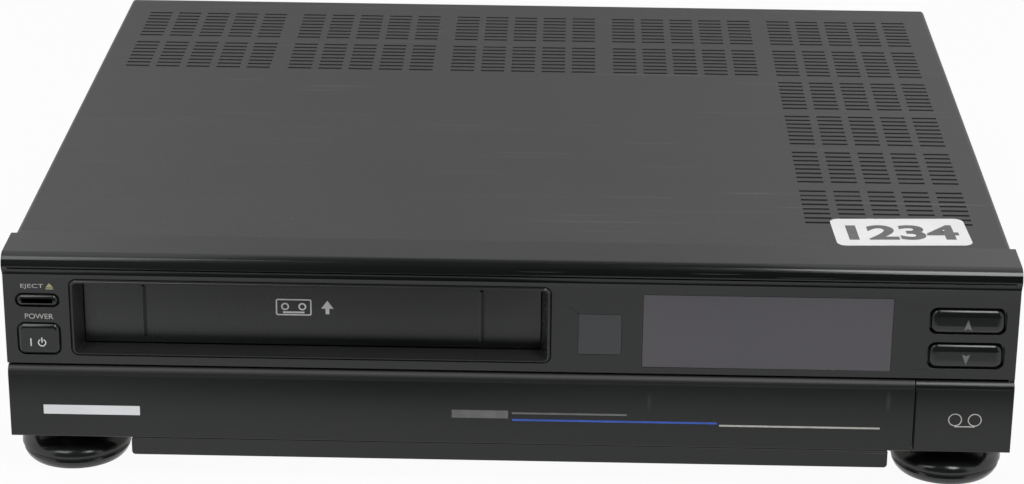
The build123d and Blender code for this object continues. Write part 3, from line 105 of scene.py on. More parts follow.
# %% [markdown]
# ## Wiring nodes
# The floor, the sky and every finish are small node trees. Wired by hand,
# each node takes three or four lines, so the helpers come first: one adds a
# node and sets or links its inputs, and the others wrap the nodes that are
# used most.


# %% Helpers that add nodes and wire them
def add(tree, kind, inputs=None, **settings):
    """Adds a node, sets its settings, and sets or links its inputs."""
    node = tree.nodes.new(kind)
    for name, value in settings.items():
        setattr(node, name, value)
    for name, value in (inputs or {}).items():
        if isinstance(value, bpy.types.NodeSocket):
            tree.links.new(value, node.inputs[name])
        else:
            node.inputs[name].default_value = value
    return node


def empty_tree(owner):
    """Gives a material or a world an empty node tree."""
    owner.use_nodes = True
    owner.node_tree.nodes.clear()
    return owner.node_tree


def number(tree, operation, a, b=0.0):
    """One sum on two numbers or sockets."""
    return add(tree, "ShaderNodeMath", {0: a, 1: b}, operation=operation).outputs[0]


def between(tree, value, low, high, out_low=0.0, out_high=1.0):
    """Maps a socket from one span to another, clamped at both ends."""
    spans = {"Value": value, "From Min": low, "From Max": high, "To Min": out_low, "To Max": out_high}
    return add(tree, "ShaderNodeMapRange", spans).outputs["Result"]


def part_of(tree, vector, axis):
    """The X, Y or Z of a vector socket, by its number."""
    return add(tree, "ShaderNodeSeparateXYZ", {0: vector}).outputs[axis]


def two_tone(tree, factor, first, second):
    """A colour between two others."""
    node = add(tree, "ShaderNodeMix", {"Factor": factor}, data_type="RGBA")
    for socket, colour in ((node.inputs[6], first), (node.inputs[7], second)):
        if isinstance(colour, bpy.types.NodeSocket):
            tree.links.new(colour, socket)
        else:
            socket.default_value = (*colour, 1)
    return node.outputs[2]


def noise(tree, where, scale, detail=3.0, roughness=0.55):
    """Fractal noise, about 0.5 on average."""
    inputs = {"Vector": where, "Scale": scale, "Detail": detail, "Roughness": roughness}
    return add(tree, "ShaderNodeTexNoise", inputs).outputs[0]


def blend_shaders(tree, factor, first, second, output_kind):
    """Mixes two shaders into the output of a tree."""
    blend = add(tree, "ShaderNodeMixShader", {"Fac": factor, 1: first.outputs[0], 2: second.outputs[0]})
    add(tree, output_kind, {"Surface": blend.outputs[0]})


print("node helpers are ready")

# %% [markdown]
# ## The studio
# Black plastic has almost no colour of its own: what the eye sees on it is
# the room. So the room matters more than the paint here. The floor and the
# sky look white to the camera and in reflections through the Light Path
# node, while they light the machine at a plain level. Two soft lamps hang
# to the left and right and draw short bright lines at the ends of the nose
# of the fascia.


# %% A pale floor that keeps the shadow
def seen_directly(tree):
    """1 for camera, glossy and transmission rays, and 0 for the light that bounces about."""
    path = add(tree, "ShaderNodeLightPath")
    total = path.outputs["Is Camera Ray"]
    for name in ("Is Glossy Ray", "Is Transmission Ray"):
        total = number(tree, "MAXIMUM", total, path.outputs[name])
    return total


bpy.ops.object.select_all(action="DESELECT")
bpy.ops.mesh.primitive_plane_add(size=60)
floor = bpy.context.object
floor.name = "studio_floor"

glow_share = 0.95
paper = bpy.data.materials.new("floor_paper")
tree = empty_tree(paper)
matt = add(tree, "ShaderNodeBsdfDiffuse", {"Color": (0.8, 0.8, 0.8, 1)})
glow = add(tree, "ShaderNodeEmission", {"Strength": 1.0})
share = number(tree, "MULTIPLY", seen_directly(tree), glow_share)
blend_shaders(tree, share, matt, glow, "ShaderNodeOutputMaterial")
floor.data.materials.append(paper)
print("floor:", [round(v, 1) for v in floor.dimensions], "m")

# %% A soft white sky
sky = bpy.data.worlds.new("studio_sky")
bpy.context.scene.world = sky
tree = empty_tree(sky)
dim = add(tree, "ShaderNodeBackground", {"Color": (1, 1, 1, 1), "Strength": 0.50})
white = add(tree, "ShaderNodeBackground", {"Color": (1, 1, 1, 1), "Strength": 1.0})
blend_shaders(tree, seen_directly(tree), dim, white, "ShaderNodeOutputWorld")
print("sky strength for lighting:", dim.inputs["Strength"].default_value)


# %% Soft lamps
def soft_lamp(name, place, target, width, height, watts):
    """An area lamp at one point, turned towards another."""
    data = bpy.data.lights.new(name, "AREA")
    data.shape = "RECTANGLE"
    data.size, data.size_y, data.energy = width, height, watts
    lamp = bpy.data.objects.new(name, data)
    bpy.context.scene.collection.objects.link(lamp)
    towards = (Vector(target) - Vector(place)).to_track_quat("-Z", "Y")
    lamp.matrix_world = Matrix.Translation(place) @ towards.to_matrix().to_4x4()
    print(name, watts, "W")


soft_lamp("left_box", (-0.64, -0.75, 1.35), (-0.3, 0, 0.05), 0.6, 0.9, 7)
soft_lamp("right_box", (0.42, -0.75, 1.35), (0.25, 0, 0.05), 0.34, 0.9, 9)

# %% [markdown]
# A gloss black machine in an all-white room looks grey and flat. Black
# cards in front give it back its depth: a tall card behind the camera, a
# roof over it and a cloth on the floor, with a flap that reaches closer. A
# beam overhead darkens the middle of the nose. The nose mirrors them as a
# black band, and the face below still mirrors the pale floor close by. A
# grey gauze behind tones down what the cover and the top of the fascia
# mirror, most of all a little left of the middle. The camera sees none of
# them, and the cloth, the beam and the gauze cast no shadow either.


# %% Cards and cloth that only reflections see
def card(name, corners, material):
    """A flat sheet from its four corners, which the camera does not see."""
    sheet = bpy.data.meshes.new(name)
    sheet.from_pydata(corners, [], [(0, 1, 2, 3)])
    sheet.materials.append(material)
    piece = bpy.data.objects.new(name, sheet)
    bpy.context.scene.collection.objects.link(piece)
    piece.visible_camera = False
    return piece


def upright_card(name, y, left, right, low, high, material):
    """A card that stands across the view."""
    return card(name, [(left, y, low), (right, y, low), (right, y, high), (left, y, high)], material)


def level_card(name, z, left, right, front, back, material):
    """A card that lies flat, on the floor or overhead."""
    return card(name, [(left, front, z), (right, front, z), (right, back, z), (left, back, z)], material)


black_cloth = bpy.data.materials.new("black_cloth")
black_cloth.use_nodes = True
cloth_inputs = black_cloth.node_tree.nodes["Principled BSDF"].inputs
cloth_inputs["Base Color"].default_value = (0.006, 0.006, 0.006, 1)
cloth_inputs["Specular IOR Level"].default_value = 0.0
upright_card("front_card", -1.8, -1.6, 1.6, 0.0, 2.2, black_cloth)
level_card("roof_card", 2.2, -1.6, 1.6, -1.8, -0.6, black_cloth)
cloth_z, cloth_edge, flap_edge = 0.0005, -0.46, -0.375
flap_corners = [(-0.24, cloth_edge, cloth_z), (0.035, cloth_edge, cloth_z), (-0.01, flap_edge, cloth_z),
                (-0.17, flap_edge, cloth_z)]
for piece in (level_card("floor_cloth", cloth_z, -1.6, 1.6, -1.8, cloth_edge, black_cloth),
              card("cloth_flap", flap_corners, black_cloth),
              level_card("roof_beam", 2.0, -0.36, 0.27, -0.6, 1.3, black_cloth)):
    piece.visible_diffuse = piece.visible_shadow = False
print("black cards are up, the floor cloth ends", -cloth_edge, "m in front of the middle")

# %% The grey gauze behind
gauze = bpy.data.materials.new("grey_gauze")
tree = empty_tree(gauze)
across = part_of(tree, add(tree, "ShaderNodeTexCoord").outputs["Object"], 0)
aside = number(tree, "ABSOLUTE", number(tree, "ADD", across, 0.09))
weave = add(tree, "ShaderNodeMapRange",
            {"Value": aside, "From Min": 0.10, "From Max": 0.75, "To Min": 0.62, "To Max": 0.25},
            interpolation_type="SMOOTHSTEP")
gap = add(tree, "ShaderNodeBsdfTransparent")
yarn = add(tree, "ShaderNodeEmission", {"Color": (0.03, 0.03, 0.03, 1)})
blend_shaders(tree, weave.outputs["Result"], gap, yarn, "ShaderNodeOutputMaterial")
veil = upright_card("rear_gauze", 1.3, -1.8, 1.8, 0.0, 2.0, gauze)
veil.visible_diffuse = veil.visible_shadow = False
print("gauze:", weave.interpolation_type.lower())

# %% [markdown]
# ## Mixing a finish
# Every surface gets a procedural material. Three things make a moulding or
# a painted sheet believable: its tone drifts a little over a hand's width,
# its gloss is uneven at the scale of a fingerprint, and a fine grain
# breaks up the highlight. All three come from noise on Object coordinates,
# which stay put when a piece moves. A value that is the same all over a
# surface is set on the shader itself.


# %% The base recipe: drifting tone, uneven gloss, fine grain
def base_finish(name, dark, light, gloss, grain, relief, patch=14.0, metal=0.0, specular=0.5, edge=0.0):
    """gloss is the (low, high) roughness, grain its scale per metre, relief the height of the grain in mm."""
    material = bpy.data.materials.new(name)
    material.use_nodes = True
    tree = material.node_tree
    shader = tree.nodes["Principled BSDF"]
    where = add(tree, "ShaderNodeTexCoord").outputs["Object"]
    broad = noise(tree, where, patch, 4.0)
    fine = noise(tree, where, grain, 2.0)
    tone = two_tone(tree, between(tree, broad, 0.35, 0.65), dark, light)
    mixed = number(tree, "ADD", number(tree, "MULTIPLY", broad, 0.6), number(tree, "MULTIPLY", fine, 0.4))
    tree.links.new(between(tree, mixed, 0.35, 0.65, *gloss), shader.inputs["Roughness"])
    bump = add(tree, "ShaderNodeBump", {"Height": fine, "Strength": 0.6, "Distance": relief / 1000})
    if edge:
        soft = add(tree, "ShaderNodeBevel", {"Radius": edge / 1000}, samples=4)
        tree.links.new(soft.outputs[0], bump.inputs["Normal"])
    tree.links.new(bump.outputs[0], shader.inputs["Normal"])
    tree.links.new(tone, shader.inputs["Base Color"])
    shader.inputs["Metallic"].default_value = metal
    shader.inputs["Specular IOR Level"].default_value = specular
    return {"material": material, "tree": tree, "shader": shader, "where": where, "tone": tone, "bump": bump}


def recolour(finish, factor, colour):
    """Lays another colour over the finish wherever the factor says."""
    finish["tone"] = two_tone(finish["tree"], factor, finish["tone"], colour)
    finish["tree"].links.new(finish["tone"], finish["shader"].inputs["Base Color"])


print("base recipe is ready")

# %% [markdown]
# ## Dust, marks and light
# Age is laid over the base recipe as masks. Dust is noise that passes a
# high threshold, a film of dust follows what faces up, scratches are noise
# stretched a hundredfold along one direction before it is cut off, and a
# finger mark is a soft oval.


# %% Masks for dust, scratches and finger marks
def facing(finish, axis):
    """How far a surface looks along X, Y or Z, from -1 to 1."""
    tree = finish["tree"]
    return part_of(tree, add(tree, "ShaderNodeTexCoord").outputs["Normal"], axis)


def facing_up(finish, start=0.6):
    """1 on surfaces that face up, and 0 on upright ones."""
    return between(finish["tree"], facing(finish, 2), start, 0.95)


def dust(finish, scale, cut, colour, strength=0.5):
    """Small pale specks, on surfaces that face up."""
    tree = finish["tree"]
    specks = between(tree, noise(tree, finish["where"], scale, 2.0, 0.7), cut, cut + 0.04)
    patches = between(tree, noise(tree, finish["where"], 12.0), 0.45, 0.7, 0.2, 1.0)
    mask = number(tree, "MULTIPLY", number(tree, "MULTIPLY", specks, patches), facing_up(finish))
    recolour(finish, number(tree, "MULTIPLY", mask, strength), colour)


def film(finish, start, colour, strength):
    """An even film of dust on what faces up."""
    recolour(finish, number(finish["tree"], "MULTIPLY", facing_up(finish, start), strength), colour)


def scratches(finish, angle, along, across, cut, colour, strength=0.4):
    """Hair-thin pale lines along one direction."""
    tree = finish["tree"]
    turned = add(tree, "ShaderNodeMapping", {"Vector": finish["where"]})
    turned.inputs["Rotation"].default_value = (0, 0, math.radians(angle))
    turned.inputs["Scale"].default_value = (along, across, across)
    lines = between(tree, noise(tree, turned.outputs[0], 1.0, 1.0), cut, cut + 0.02)
    recolour(finish, number(tree, "MULTIPLY", lines, strength), colour)


def finger_mark(finish, x, z, half_width, half_height):
    """A soft upright oval round one place on the front, in millimetres."""
    tree = finish["tree"]
    offsets = ((0, x, half_width), (2, z, half_height))
    parts = [number(tree, "DIVIDE", number(tree, "SUBTRACT", part_of(tree, finish["where"], axis), place / 1000),
                    half / 1000) for axis, place, half in offsets]
    far = number(tree, "ADD", *(number(tree, "POWER", part, 2.0) for part in parts))
    recolour(finish, number(tree, "MULTIPLY", between(tree, far, 1.0, 0.0), 0.5), (0.05, 0.05, 0.05))


print("masks are ready")

# %% [markdown]
# Mouldings that look flat seldom are: the lower front bulges by less than
# a millimetre, and that is enough to shade it from top to bottom. A height
# fed into the bump bends the light in the same way and leaves the shape
# alone. The same trick turns the sloping strip under the nose more
# upright, and a mask on height makes one part of a moulding duller than
# the rest.


# %% Helpers that bend and dull the light by height
def above_floor(finish):
    """The height of a point, in metres."""
    return part_of(finish["tree"], finish["where"], 2)


def bend_light(finish, height):
    """Puts a relief, in metres, under the grain of a finish."""
    tree = finish["tree"]
    relief = add(tree, "ShaderNodeBump", {"Height": height, "Strength": 1.0, "Distance": 1.0})
    link = finish["bump"].inputs["Normal"]
    if link.is_linked:
        tree.links.new(link.links[0].from_socket, relief.inputs["Normal"])
    tree.links.new(relief.outputs[0], link)


def crown(finish, low, high, radius):
    """Rounds an upright face between two heights, so that it leans back more and more."""
    tree = finish["tree"]
    climb = between(tree, above_floor(finish), low / 1000, high / 1000, 0.0, (high - low) / 1000)
    bend_light(finish, number(tree, "MULTIPLY", number(tree, "MULTIPLY", climb, climb), -0.5 / (radius / 1000)))


def straighten(finish, low, high, slope):
    """Turns a sloping strip between two heights more upright."""
    drop = slope * (low - high) / 1000
    bend_light(finish, between(finish["tree"], above_floor(finish), low / 1000, high / 1000, 0.0, drop))


def duller(finish, start, end, gloss):
    """Raises the roughness to at least a value beyond a height, fading in between start and end."""
    tree = finish["tree"]
    own = finish["shader"].inputs["Roughness"].links[0].from_socket
    mask = between(tree, above_floor(finish), start / 1000, end / 1000, 0.0, gloss)
    tree.links.new(number(tree, "MAXIMUM", own, mask), finish["shader"].inputs["Roughness"])


print("light helpers are ready")

# %% [markdown]
# ## Paint and mouldings of the outside
# The cover is steel with a fine textured paint in dark grey: satin, with a
# little dust that settles on what faces up, and a few hair-thin scratches.
# The fascia is a harder, glossy black moulding, faintly green in its depth.
# The door is the same black but satin. Both are painted paler to the left,
# a painted sheen for the brighter light on that side, and both have the same
# crown, so that the light runs across the gap between them without a step.

# %% Cover paint
cover = base_finish("cover_paint", (0.047, 0.049, 0.047), (0.055, 0.057, 0.055), (0.40, 0.50), 2600, 0.02,
                    patch=9, specular=0.35)
dust(cover, 900, 0.68, (0.30, 0.29, 0.27), 0.6)
scratches(cover, 64, 9, 700, 0.735, (0.16, 0.16, 0.15), 0.5)
scratches(cover, -18, 7, 900, 0.745, (0.15, 0.15, 0.15), 0.4)
print("cover:", cover["material"].name)

# %% Fascia and door mouldings, with a painted sheen on the left
moulding_dark, moulding_light = (0.0065, 0.0085, 0.0075), (0.009, 0.011, 0.010)
fascia = base_finish("fascia_moulding", moulding_dark, moulding_light, (0.12, 0.16), 1800, 0.003,
                     patch=11, edge=0.2, specular=0.43)
dust(fascia, 1100, 0.69, (0.26, 0.25, 0.23), 0.5)
scratches(fascia, 3, 10, 900, 0.75, (0.10, 0.10, 0.10), 0.4)
door_plastic = base_finish("door_moulding", moulding_dark, moulding_light, (0.28, 0.32), 1800, 0.002,
                           patch=10, specular=0.41)
dust(door_plastic, 1000, 0.64, (0.30, 0.29, 0.27), 0.7)

for finish in (fascia, door_plastic):
    crown(finish, 17.4, 46.0, 165.0)
straighten(fascia, 90.35, 93.2, 0.47)
film(fascia, 0.8, (0.034, 0.035, 0.034), 0.75)
# Painted sheen: both mouldings are painted paler towards the left, for the brighter light on that side.
for finish in (fascia, door_plastic):
    left_sheen = between(finish["tree"], part_of(finish["tree"], finish["where"], 0), 0.02, -0.16, 0.0, 0.45)
    recolour(finish, left_sheen, (0.024, 0.026, 0.025))
print("mouldings:", fascia["material"].name, door_plastic["material"].name)

# %% [markdown]
# The lower part of the fascia is worn duller than its polished top, and so
# is the ledge along the top of the door. A painted highlight, a paler line,
# runs along the thin lip under the door, and two finger marks stay where the
# door is pushed.

# %% Wear and a painted highlight on the lower front
duller(fascia, 50.0, 49.5, 0.29)
duller(door_plastic, 44.8, 45.6, 0.46)
# Painted highlight: a paler line along the thin lip under the door, for the lamp glinting on its edge.
lip_highlight = between(door_plastic["tree"], above_floor(door_plastic), 0.0182, 0.0178)
recolour(door_plastic, lip_highlight, (0.030, 0.032, 0.031))
film(door_plastic, 0.3, (0.055, 0.055, 0.053), 0.9)
finger_mark(door_plastic, 58.5, 38.0, 0.9, 5.0)
finger_mark(door_plastic, 158.0, 40.0, 1.2, 5.5)
print("wear is on", door_plastic["material"].name)

# %% [markdown]
# ## Trim, keys, panes and feet
# These are the shinier mouldings. The cassette frame and the front feet
# are close to polished; the keys are satin with a soft bloom from fingers;
# the panes are tinted plastic, which looks flat and a little purple
# because the eye sees only its skin. The walls inside the cassette frame
# are painted paler than its front, a painted sheen for the light they
# catch, and the flap is painted paler to the left in the same way.

# %% Shiny and tinted finishes, with painted sheen on frame and flap
trim_dark, trim_light = (0.010, 0.012, 0.011), (0.014, 0.016, 0.015)
trim = base_finish("frame_moulding", trim_dark, trim_light, (0.20, 0.28), 1500, 0.003)
# Painted sheen: the walls inside the frame, which face sideways, are painted paler than its front, for the light
# they catch.
facing_front_for_sheen = number(trim["tree"], "ABSOLUTE", facing(trim, 1))
recolour(trim, between(trim["tree"], facing_front_for_sheen, 0.9, 0.6, 0.0, 0.4), (0.045, 0.046, 0.044))

flap_plastic = base_finish("flap_moulding", trim_dark, trim_light, (0.26, 0.28), 1800, 0.0008, patch=10)
# Painted sheen: the flap is painted paler towards the left, for the brighter light on that side.
flap_left_sheen = between(flap_plastic["tree"], part_of(flap_plastic["tree"], flap_plastic["where"], 0), -0.05, -0.16)
recolour(flap_plastic, flap_left_sheen, (0.026, 0.029, 0.028))

key_plastic = base_finish("key_moulding", trim_dark, trim_light, (0.16, 0.20), 1600, 0.003, specular=0.44)
foot_plastic = base_finish("foot_moulding", (0.013, 0.014, 0.014), (0.018, 0.019, 0.019), (0.14, 0.22),
                           900, 0.003)
dust(foot_plastic, 900, 0.66, (0.25, 0.24, 0.22), 0.4)
pane = base_finish("display_pane", (0.084, 0.079, 0.091), (0.093, 0.087, 0.099), (0.30, 0.36),
                   1200, 0.002, patch=16)
remote = base_finish("remote_pane", (0.041, 0.045, 0.047), (0.046, 0.050, 0.053), (0.30, 0.38),
                     1400, 0.003, patch=30)
print("shiny finishes are mixed")

# %% [markdown]
# ## Metals, boards and working parts
# Behind the front there is a tape deck, a supply and two circuit boards.
# Plated sheet shows a cloudy spangle, turned parts show rings about their
# axis, the transformer shows the edges of its laminations, and a board
# shows a web of tracks under its lacquer. Stripes and rings come from the
# Wave texture, the web from a Voronoi pattern.


# %% Plain metals
def grey(level):
    """A neutral colour."""
    return (level, level, level)


zinc = base_finish("zinc_sheet", (0.50, 0.50, 0.46), (0.62, 0.62, 0.59), (0.28, 0.46), 700, 0.01,
                   patch=60, metal=1.0)
black_paint = base_finish("rear_paint", grey(0.018), grey(0.026), (0.42, 0.55), 2600, 0.03, edge=0.3)
screw_steel = base_finish("screw_blacking", grey(0.05), grey(0.10), (0.28, 0.45), 2500, 0.006, metal=1.0)
shaft_steel = base_finish("ground_steel", (0.55, 0.55, 0.56), grey(0.68), (0.14, 0.26), 3000, 0.002, metal=1.0)
tinned = base_finish("tinned_cans", (0.60, 0.60, 0.55), (0.72, 0.72, 0.67), (0.26, 0.42), 900, 0.006,
                     patch=45, metal=1.0)
cast = base_finish("guide_casting", grey(0.48), (0.62, 0.62, 0.61), (0.34, 0.50), 2400, 0.015, metal=1.0)
print("sheet, screws, shafts, cans and castings")


# %% Turned aluminium, fins and laminations
def ridges(finish, direction, pitch, depth):
    """Fine parallel ridges across one direction, that catch the light."""
    tree = finish["tree"]
    wave = add(tree, "ShaderNodeTexWave",
               {"Vector": finish["where"], "Scale": 0.314 / (pitch / 1000), "Distortion": 0.4},
               wave_type="BANDS", bands_direction=direction, wave_profile="SAW")
    bump = add(tree, "ShaderNodeBump", {"Height": wave.outputs["Fac"], "Strength": 0.5, "Distance": depth / 1000,
                                        "Normal": finish["bump"].outputs[0]})
    tree.links.new(bump.outputs[0], finish["shader"].inputs["Normal"])
    return wave.outputs["Fac"]


drum_metal = base_finish("turned_drum", (0.70, 0.70, 0.69), (0.80, 0.80, 0.79), (0.16, 0.26), 3000, 0.002,
                         metal=1.0)
ridges(drum_metal, "Z", 0.5, 0.02)
fin_metal = base_finish("extruded_fins", grey(0.42), (0.55, 0.55, 0.54), (0.30, 0.46), 1800, 0.008, metal=1.0)
ridges(fin_metal, "X", 0.6, 0.02)
laminations = base_finish("core_laminations", (0.16, 0.11, 0.07), (0.26, 0.19, 0.12), (0.30, 0.48), 900, 0.01)
layers = ridges(laminations, "Z", 0.7, 0.08)
recolour(laminations, between(laminations["tree"], layers, 0.0, 0.35, 0.7, 0.0), (0.03, 0.025, 0.02))
print("ridged finishes are mixed")

# %% Circuit boards, chips and small mouldings
board = base_finish("circuit_board", (0.19, 0.11, 0.035), (0.25, 0.15, 0.05), (0.28, 0.40), 700, 0.004, patch=20)
tree = board["tree"]
web = add(tree, "ShaderNodeTexVoronoi", {"Vector": board["where"], "Scale": 190.0, "Randomness": 0.9},
          feature="DISTANCE_TO_EDGE")
recolour(board, between(tree, web.outputs["Distance"], 0.10, 0.07), (0.10, 0.13, 0.035))
pads = add(tree, "ShaderNodeTexVoronoi", {"Vector": board["where"], "Scale": 240.0, "Randomness": 0.6})
recolour(board, between(tree, pads.outputs["Distance"], 0.17, 0.14), (0.55, 0.54, 0.50))
chip_black = base_finish("chip_packages", (0.014, 0.014, 0.015), (0.024, 0.024, 0.025), (0.38, 0.52), 2600, 0.01)
acetal = base_finish("white_acetal", (0.66, 0.66, 0.62), (0.74, 0.74, 0.70), (0.32, 0.44), 1600, 0.005, patch=40)
rubber = base_finish("black_rubber", grey(0.016), grey(0.026), (0.60, 0.80), 2200, 0.02)
deck_plastic = base_finish("deck_key_moulding", (0.042, 0.042, 0.044), (0.055, 0.055, 0.057), (0.36, 0.46),
                           1800, 0.006)
sleeves = base_finish("capacitor_sleeves", (0.02, 0.03, 0.09), (0.03, 0.04, 0.13), (0.22, 0.34), 1200, 0.003,
                      patch=90)
glass = base_finish("tube_glass", (0.10, 0.16, 0.14), (0.14, 0.20, 0.18), (0.08, 0.16), 900, 0.002, patch=70)
print("boards and working parts are mixed")

# %% [markdown]
# ## Carrying the nodes over
# Most nodes already have the right shape. Flat sheet-metal nodes stay as
# they are and only receive a finish. Round nodes arrive as loose triangles
# with flat facets, so each gets a copy whose doubled points are merged and
# whose faces are shaded smooth up to an angle. The mouldings of the front
# have wide flats beside gentle curves, so their angle is smaller, and large
# faces weigh more than small ones in the shading. The copy then stands for
# the node on the same body.

# %% Tell each node its finish
dress = {}
for finish, slot_name, names in (
        (cover, "cover_paint", "top_cover"), (fascia, "fascia", "front_bezel"),
        (door_plastic, "door", "front_door"), (trim, "frame_trim", "slot_frame"),
        (flap_plastic, "fascia", "cassette_flap"), (pane, "display_pane", "display_window"),
        (remote, "remote_pane", "remote_window"), (glass, "tube", "display_tube"),
        (rubber, "rear_feet", "rear_feet"), (rubber, "tyres", "idler_wheel pinch_roller"),
        (black_paint, "rear_paint", "rear_panel"), (board, "boards", "front_boards main_board"),
        (chip_black, "parts_black", "front_switches scart_sockets audio_sockets mains_inlet circuit_chips"),
        (sleeves, "parts_black", "capacitors"), (laminations, "transformer", "power_transformer"),
        (fin_metal, "sink", "heat_sink"), (drum_metal, "drums", "lower_drum upper_drum"),
        (tinned, "cans", "aerial_block shield_cans erase_head audio_head loading_motor"),
        (shaft_steel, "steel_shafts", "door_hinge_pins deck_shafts capstan"),
        (cast, "guides", "capstan_bearing supply_guide takeup_guide"),
        (acetal, "reels", "supply_reel takeup_reel cam_gear loading_worm"),
        (zinc, "zinc_sheet", "pillars base_pan deck_plate idler_arm pinch_arm"),
        (zinc, "zinc_sheet", "carriage_frame basket_slides cassette_basket")):
    for node_name in names.split():
        node = nodes[node_name]
        node.data.materials.clear()
        node.data.materials.append(finish["material"])
        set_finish(node, slot_name)
        dress[node_name] = slot_name
print("nodes with a finish:", len(dress))


# %% Smooth copies of the round nodes
def only(piece):
    """Makes one piece the selected and active one."""
    if bpy.context.object and bpy.context.object.mode != "OBJECT":
        bpy.ops.object.mode_set(mode="OBJECT")
    bpy.ops.object.select_all(action="DESELECT")
    bpy.context.view_layer.objects.active = piece
    piece.select_set(True)


def smooth_copy(node_name, angle):
    """A merged, smooth-shaded copy that stands for a node."""
    node = nodes[node_name]
    piece = bpy.data.objects.new(node_name + "_smooth", node.data.copy())
    bpy.context.scene.collection.objects.link(piece)
    only(piece)
    bpy.ops.object.mode_set(mode="EDIT")
    bpy.ops.mesh.select_all(action="SELECT")
    bpy.ops.mesh.remove_doubles(threshold=1e-6)
    bpy.ops.object.mode_set(mode="OBJECT")
    bpy.ops.object.shade_smooth_by_angle(angle=math.radians(angle))
    level = piece.modifiers.new("level_flats", "WEIGHTED_NORMAL")
    level.keep_sharp = True
    bpy.ops.object.modifier_apply(modifier="level_flats")
    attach(piece, node["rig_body"])
    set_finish(piece, dress[node_name])
    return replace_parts(piece, node_name)


front_mouldings = ["top_cover", "front_bezel", "front_door", "slot_frame", "cassette_flap"]
round_nodes = [
    "door_hinge_pins", "rear_feet", "aerial_block", "audio_sockets", "mains_inlet", "power_transformer",
    "capacitors", "pillars", "deck_shafts", "lower_drum", "upper_drum", "capstan", "capstan_bearing",
    "supply_reel", "takeup_reel", "idler_arm", "idler_wheel", "pinch_arm", "pinch_roller", "supply_guide",
    "takeup_guide", "cam_gear", "loading_worm", "loading_motor", "basket_slides", "cassette_basket",
    "deck_plate", "display_tube",
]
for names, angle in ((front_mouldings, 22), (round_nodes, 32)):
    for node_name in names:
        smooth_copy(node_name, angle)
print("smooth copies:", len(front_mouldings) + len(round_nodes))

# %% [markdown]
# ## Modelling by hand
# The pieces that follow are pushed and pulled out of a primitive, as one
# would with the mouse. Two habits keep that readable in code. Faces are
# picked by where they are and which way they look, with everything else
# deselected. And a finished piece has its place baked into its mesh, so its
# object sits at the origin and its pattern can't slide.


# %% Helpers for modelling by hand
def choose(piece, kind, wanted):
    """Enters edit mode with only the wanted faces, edges or vertices selected; places are in millimetres."""
    only(piece)
    bpy.ops.object.mode_set(mode="EDIT")
    bpy.ops.mesh.select_mode(type=kind)
    bpy.ops.mesh.select_all(action="DESELECT")
    bpy.ops.object.mode_set(mode="OBJECT")
    mesh = piece.data
    if kind == "FACE":
        for face in mesh.polygons:
            face.select = wanted(1000 * face.center, face.normal)
    elif kind == "VERT":
        for vertex in mesh.vertices:
            vertex.select = wanted(1000 * vertex.co)
    else:
        for edge in mesh.edges:
            first, second = (1000 * mesh.vertices[i].co for i in edge.vertices)
            edge.select = wanted(first, second)
    bpy.ops.object.mode_set(mode="EDIT")


def pull(x=0.0, y=0.0, z=0.0):
    """Extrudes the selection by a step in millimetres."""
    step = (x / 1000, y / 1000, z / 1000)
    bpy.ops.mesh.extrude_region_move(TRANSFORM_OT_translate={"value": step})


def grow(x, y, z, about):
    """Scales the selection about a point in millimetres."""
    bpy.ops.transform.resize(value=(x, y, z), center_override=[c / 1000 for c in about])


def box_of(size, centre):
    """A plain box, its size and place in millimetres baked into its mesh."""
    bpy.ops.object.select_all(action="DESELECT")
    bpy.ops.mesh.primitive_cube_add(size=0.001, location=[c / 1000 for c in centre], scale=size)
    bpy.ops.object.transform_apply(location=True, rotation=True, scale=True)
    return bpy.context.object


def settle(piece, name, body, slot_name, finish, angle=32):
    """Names a piece, bakes its place into its mesh, and gives it its body and finish."""
    only(piece)
    bpy.ops.object.transform_apply(location=True, rotation=True, scale=True)
    piece.name = piece.data.name = name
    bpy.ops.object.shade_smooth_by_angle(angle=math.radians(angle))
    piece.data.materials.clear()
    piece.data.materials.append(finish["material"])
    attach(piece, body)
    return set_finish(piece, slot_name)


def twin(piece, name, body, shift):
    """A copy with its own mesh, moved by a step in millimetres."""
    other = bpy.data.objects.new(name, piece.data.copy())
    other.data.name = name
    bpy.context.scene.collection.objects.link(other)
    other.data.transform(Matrix.Translation([c / 1000 for c in shift]))
    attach(other, body)
    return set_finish(other, piece["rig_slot"])


def lathe(x, y, steps, sides):
    """A turned piece: a disc at the first (radius, height) step, pulled through the others."""
    radius, start = steps[0]
    place = Vector((x, y, start))
    bpy.ops.object.select_all(action="DESELECT")
    bpy.ops.mesh.primitive_circle_add(vertices=sides, radius=radius / 1000, fill_type="NGON",
                                      location=place / 1000)
    piece = bpy.context.object
    bpy.ops.object.transform_apply(location=True)
    bpy.ops.object.mode_set(mode="EDIT")
    bpy.ops.mesh.select_all(action="SELECT")
    bpy.ops.mesh.flip_normals()
    for wider, height in steps[1:]:
        pull(z=height - start)
        grow(wider / radius, wider / radius, 1, (x, y, height))
        radius, start = wider, height
    bpy.ops.mesh.select_all(action="SELECT")
    bpy.ops.mesh.normals_make_consistent(inside=False)
    bpy.ops.object.mode_set(mode="OBJECT")
    return piece


print("modelling helpers are ready")

# %% [markdown]
# ## The front feet
# Each foot is a big glossy two-tier dish: a base ring, a waist groove, a
# domed upper tier and a neck that goes up under the fascia. It is a turned
# shape, so a disc is pulled up step by step and widened or narrowed at each
# step, which follows the profile exactly. Spinning a drawn profile would
# do as well, but the steps here can be read off as radius and height.

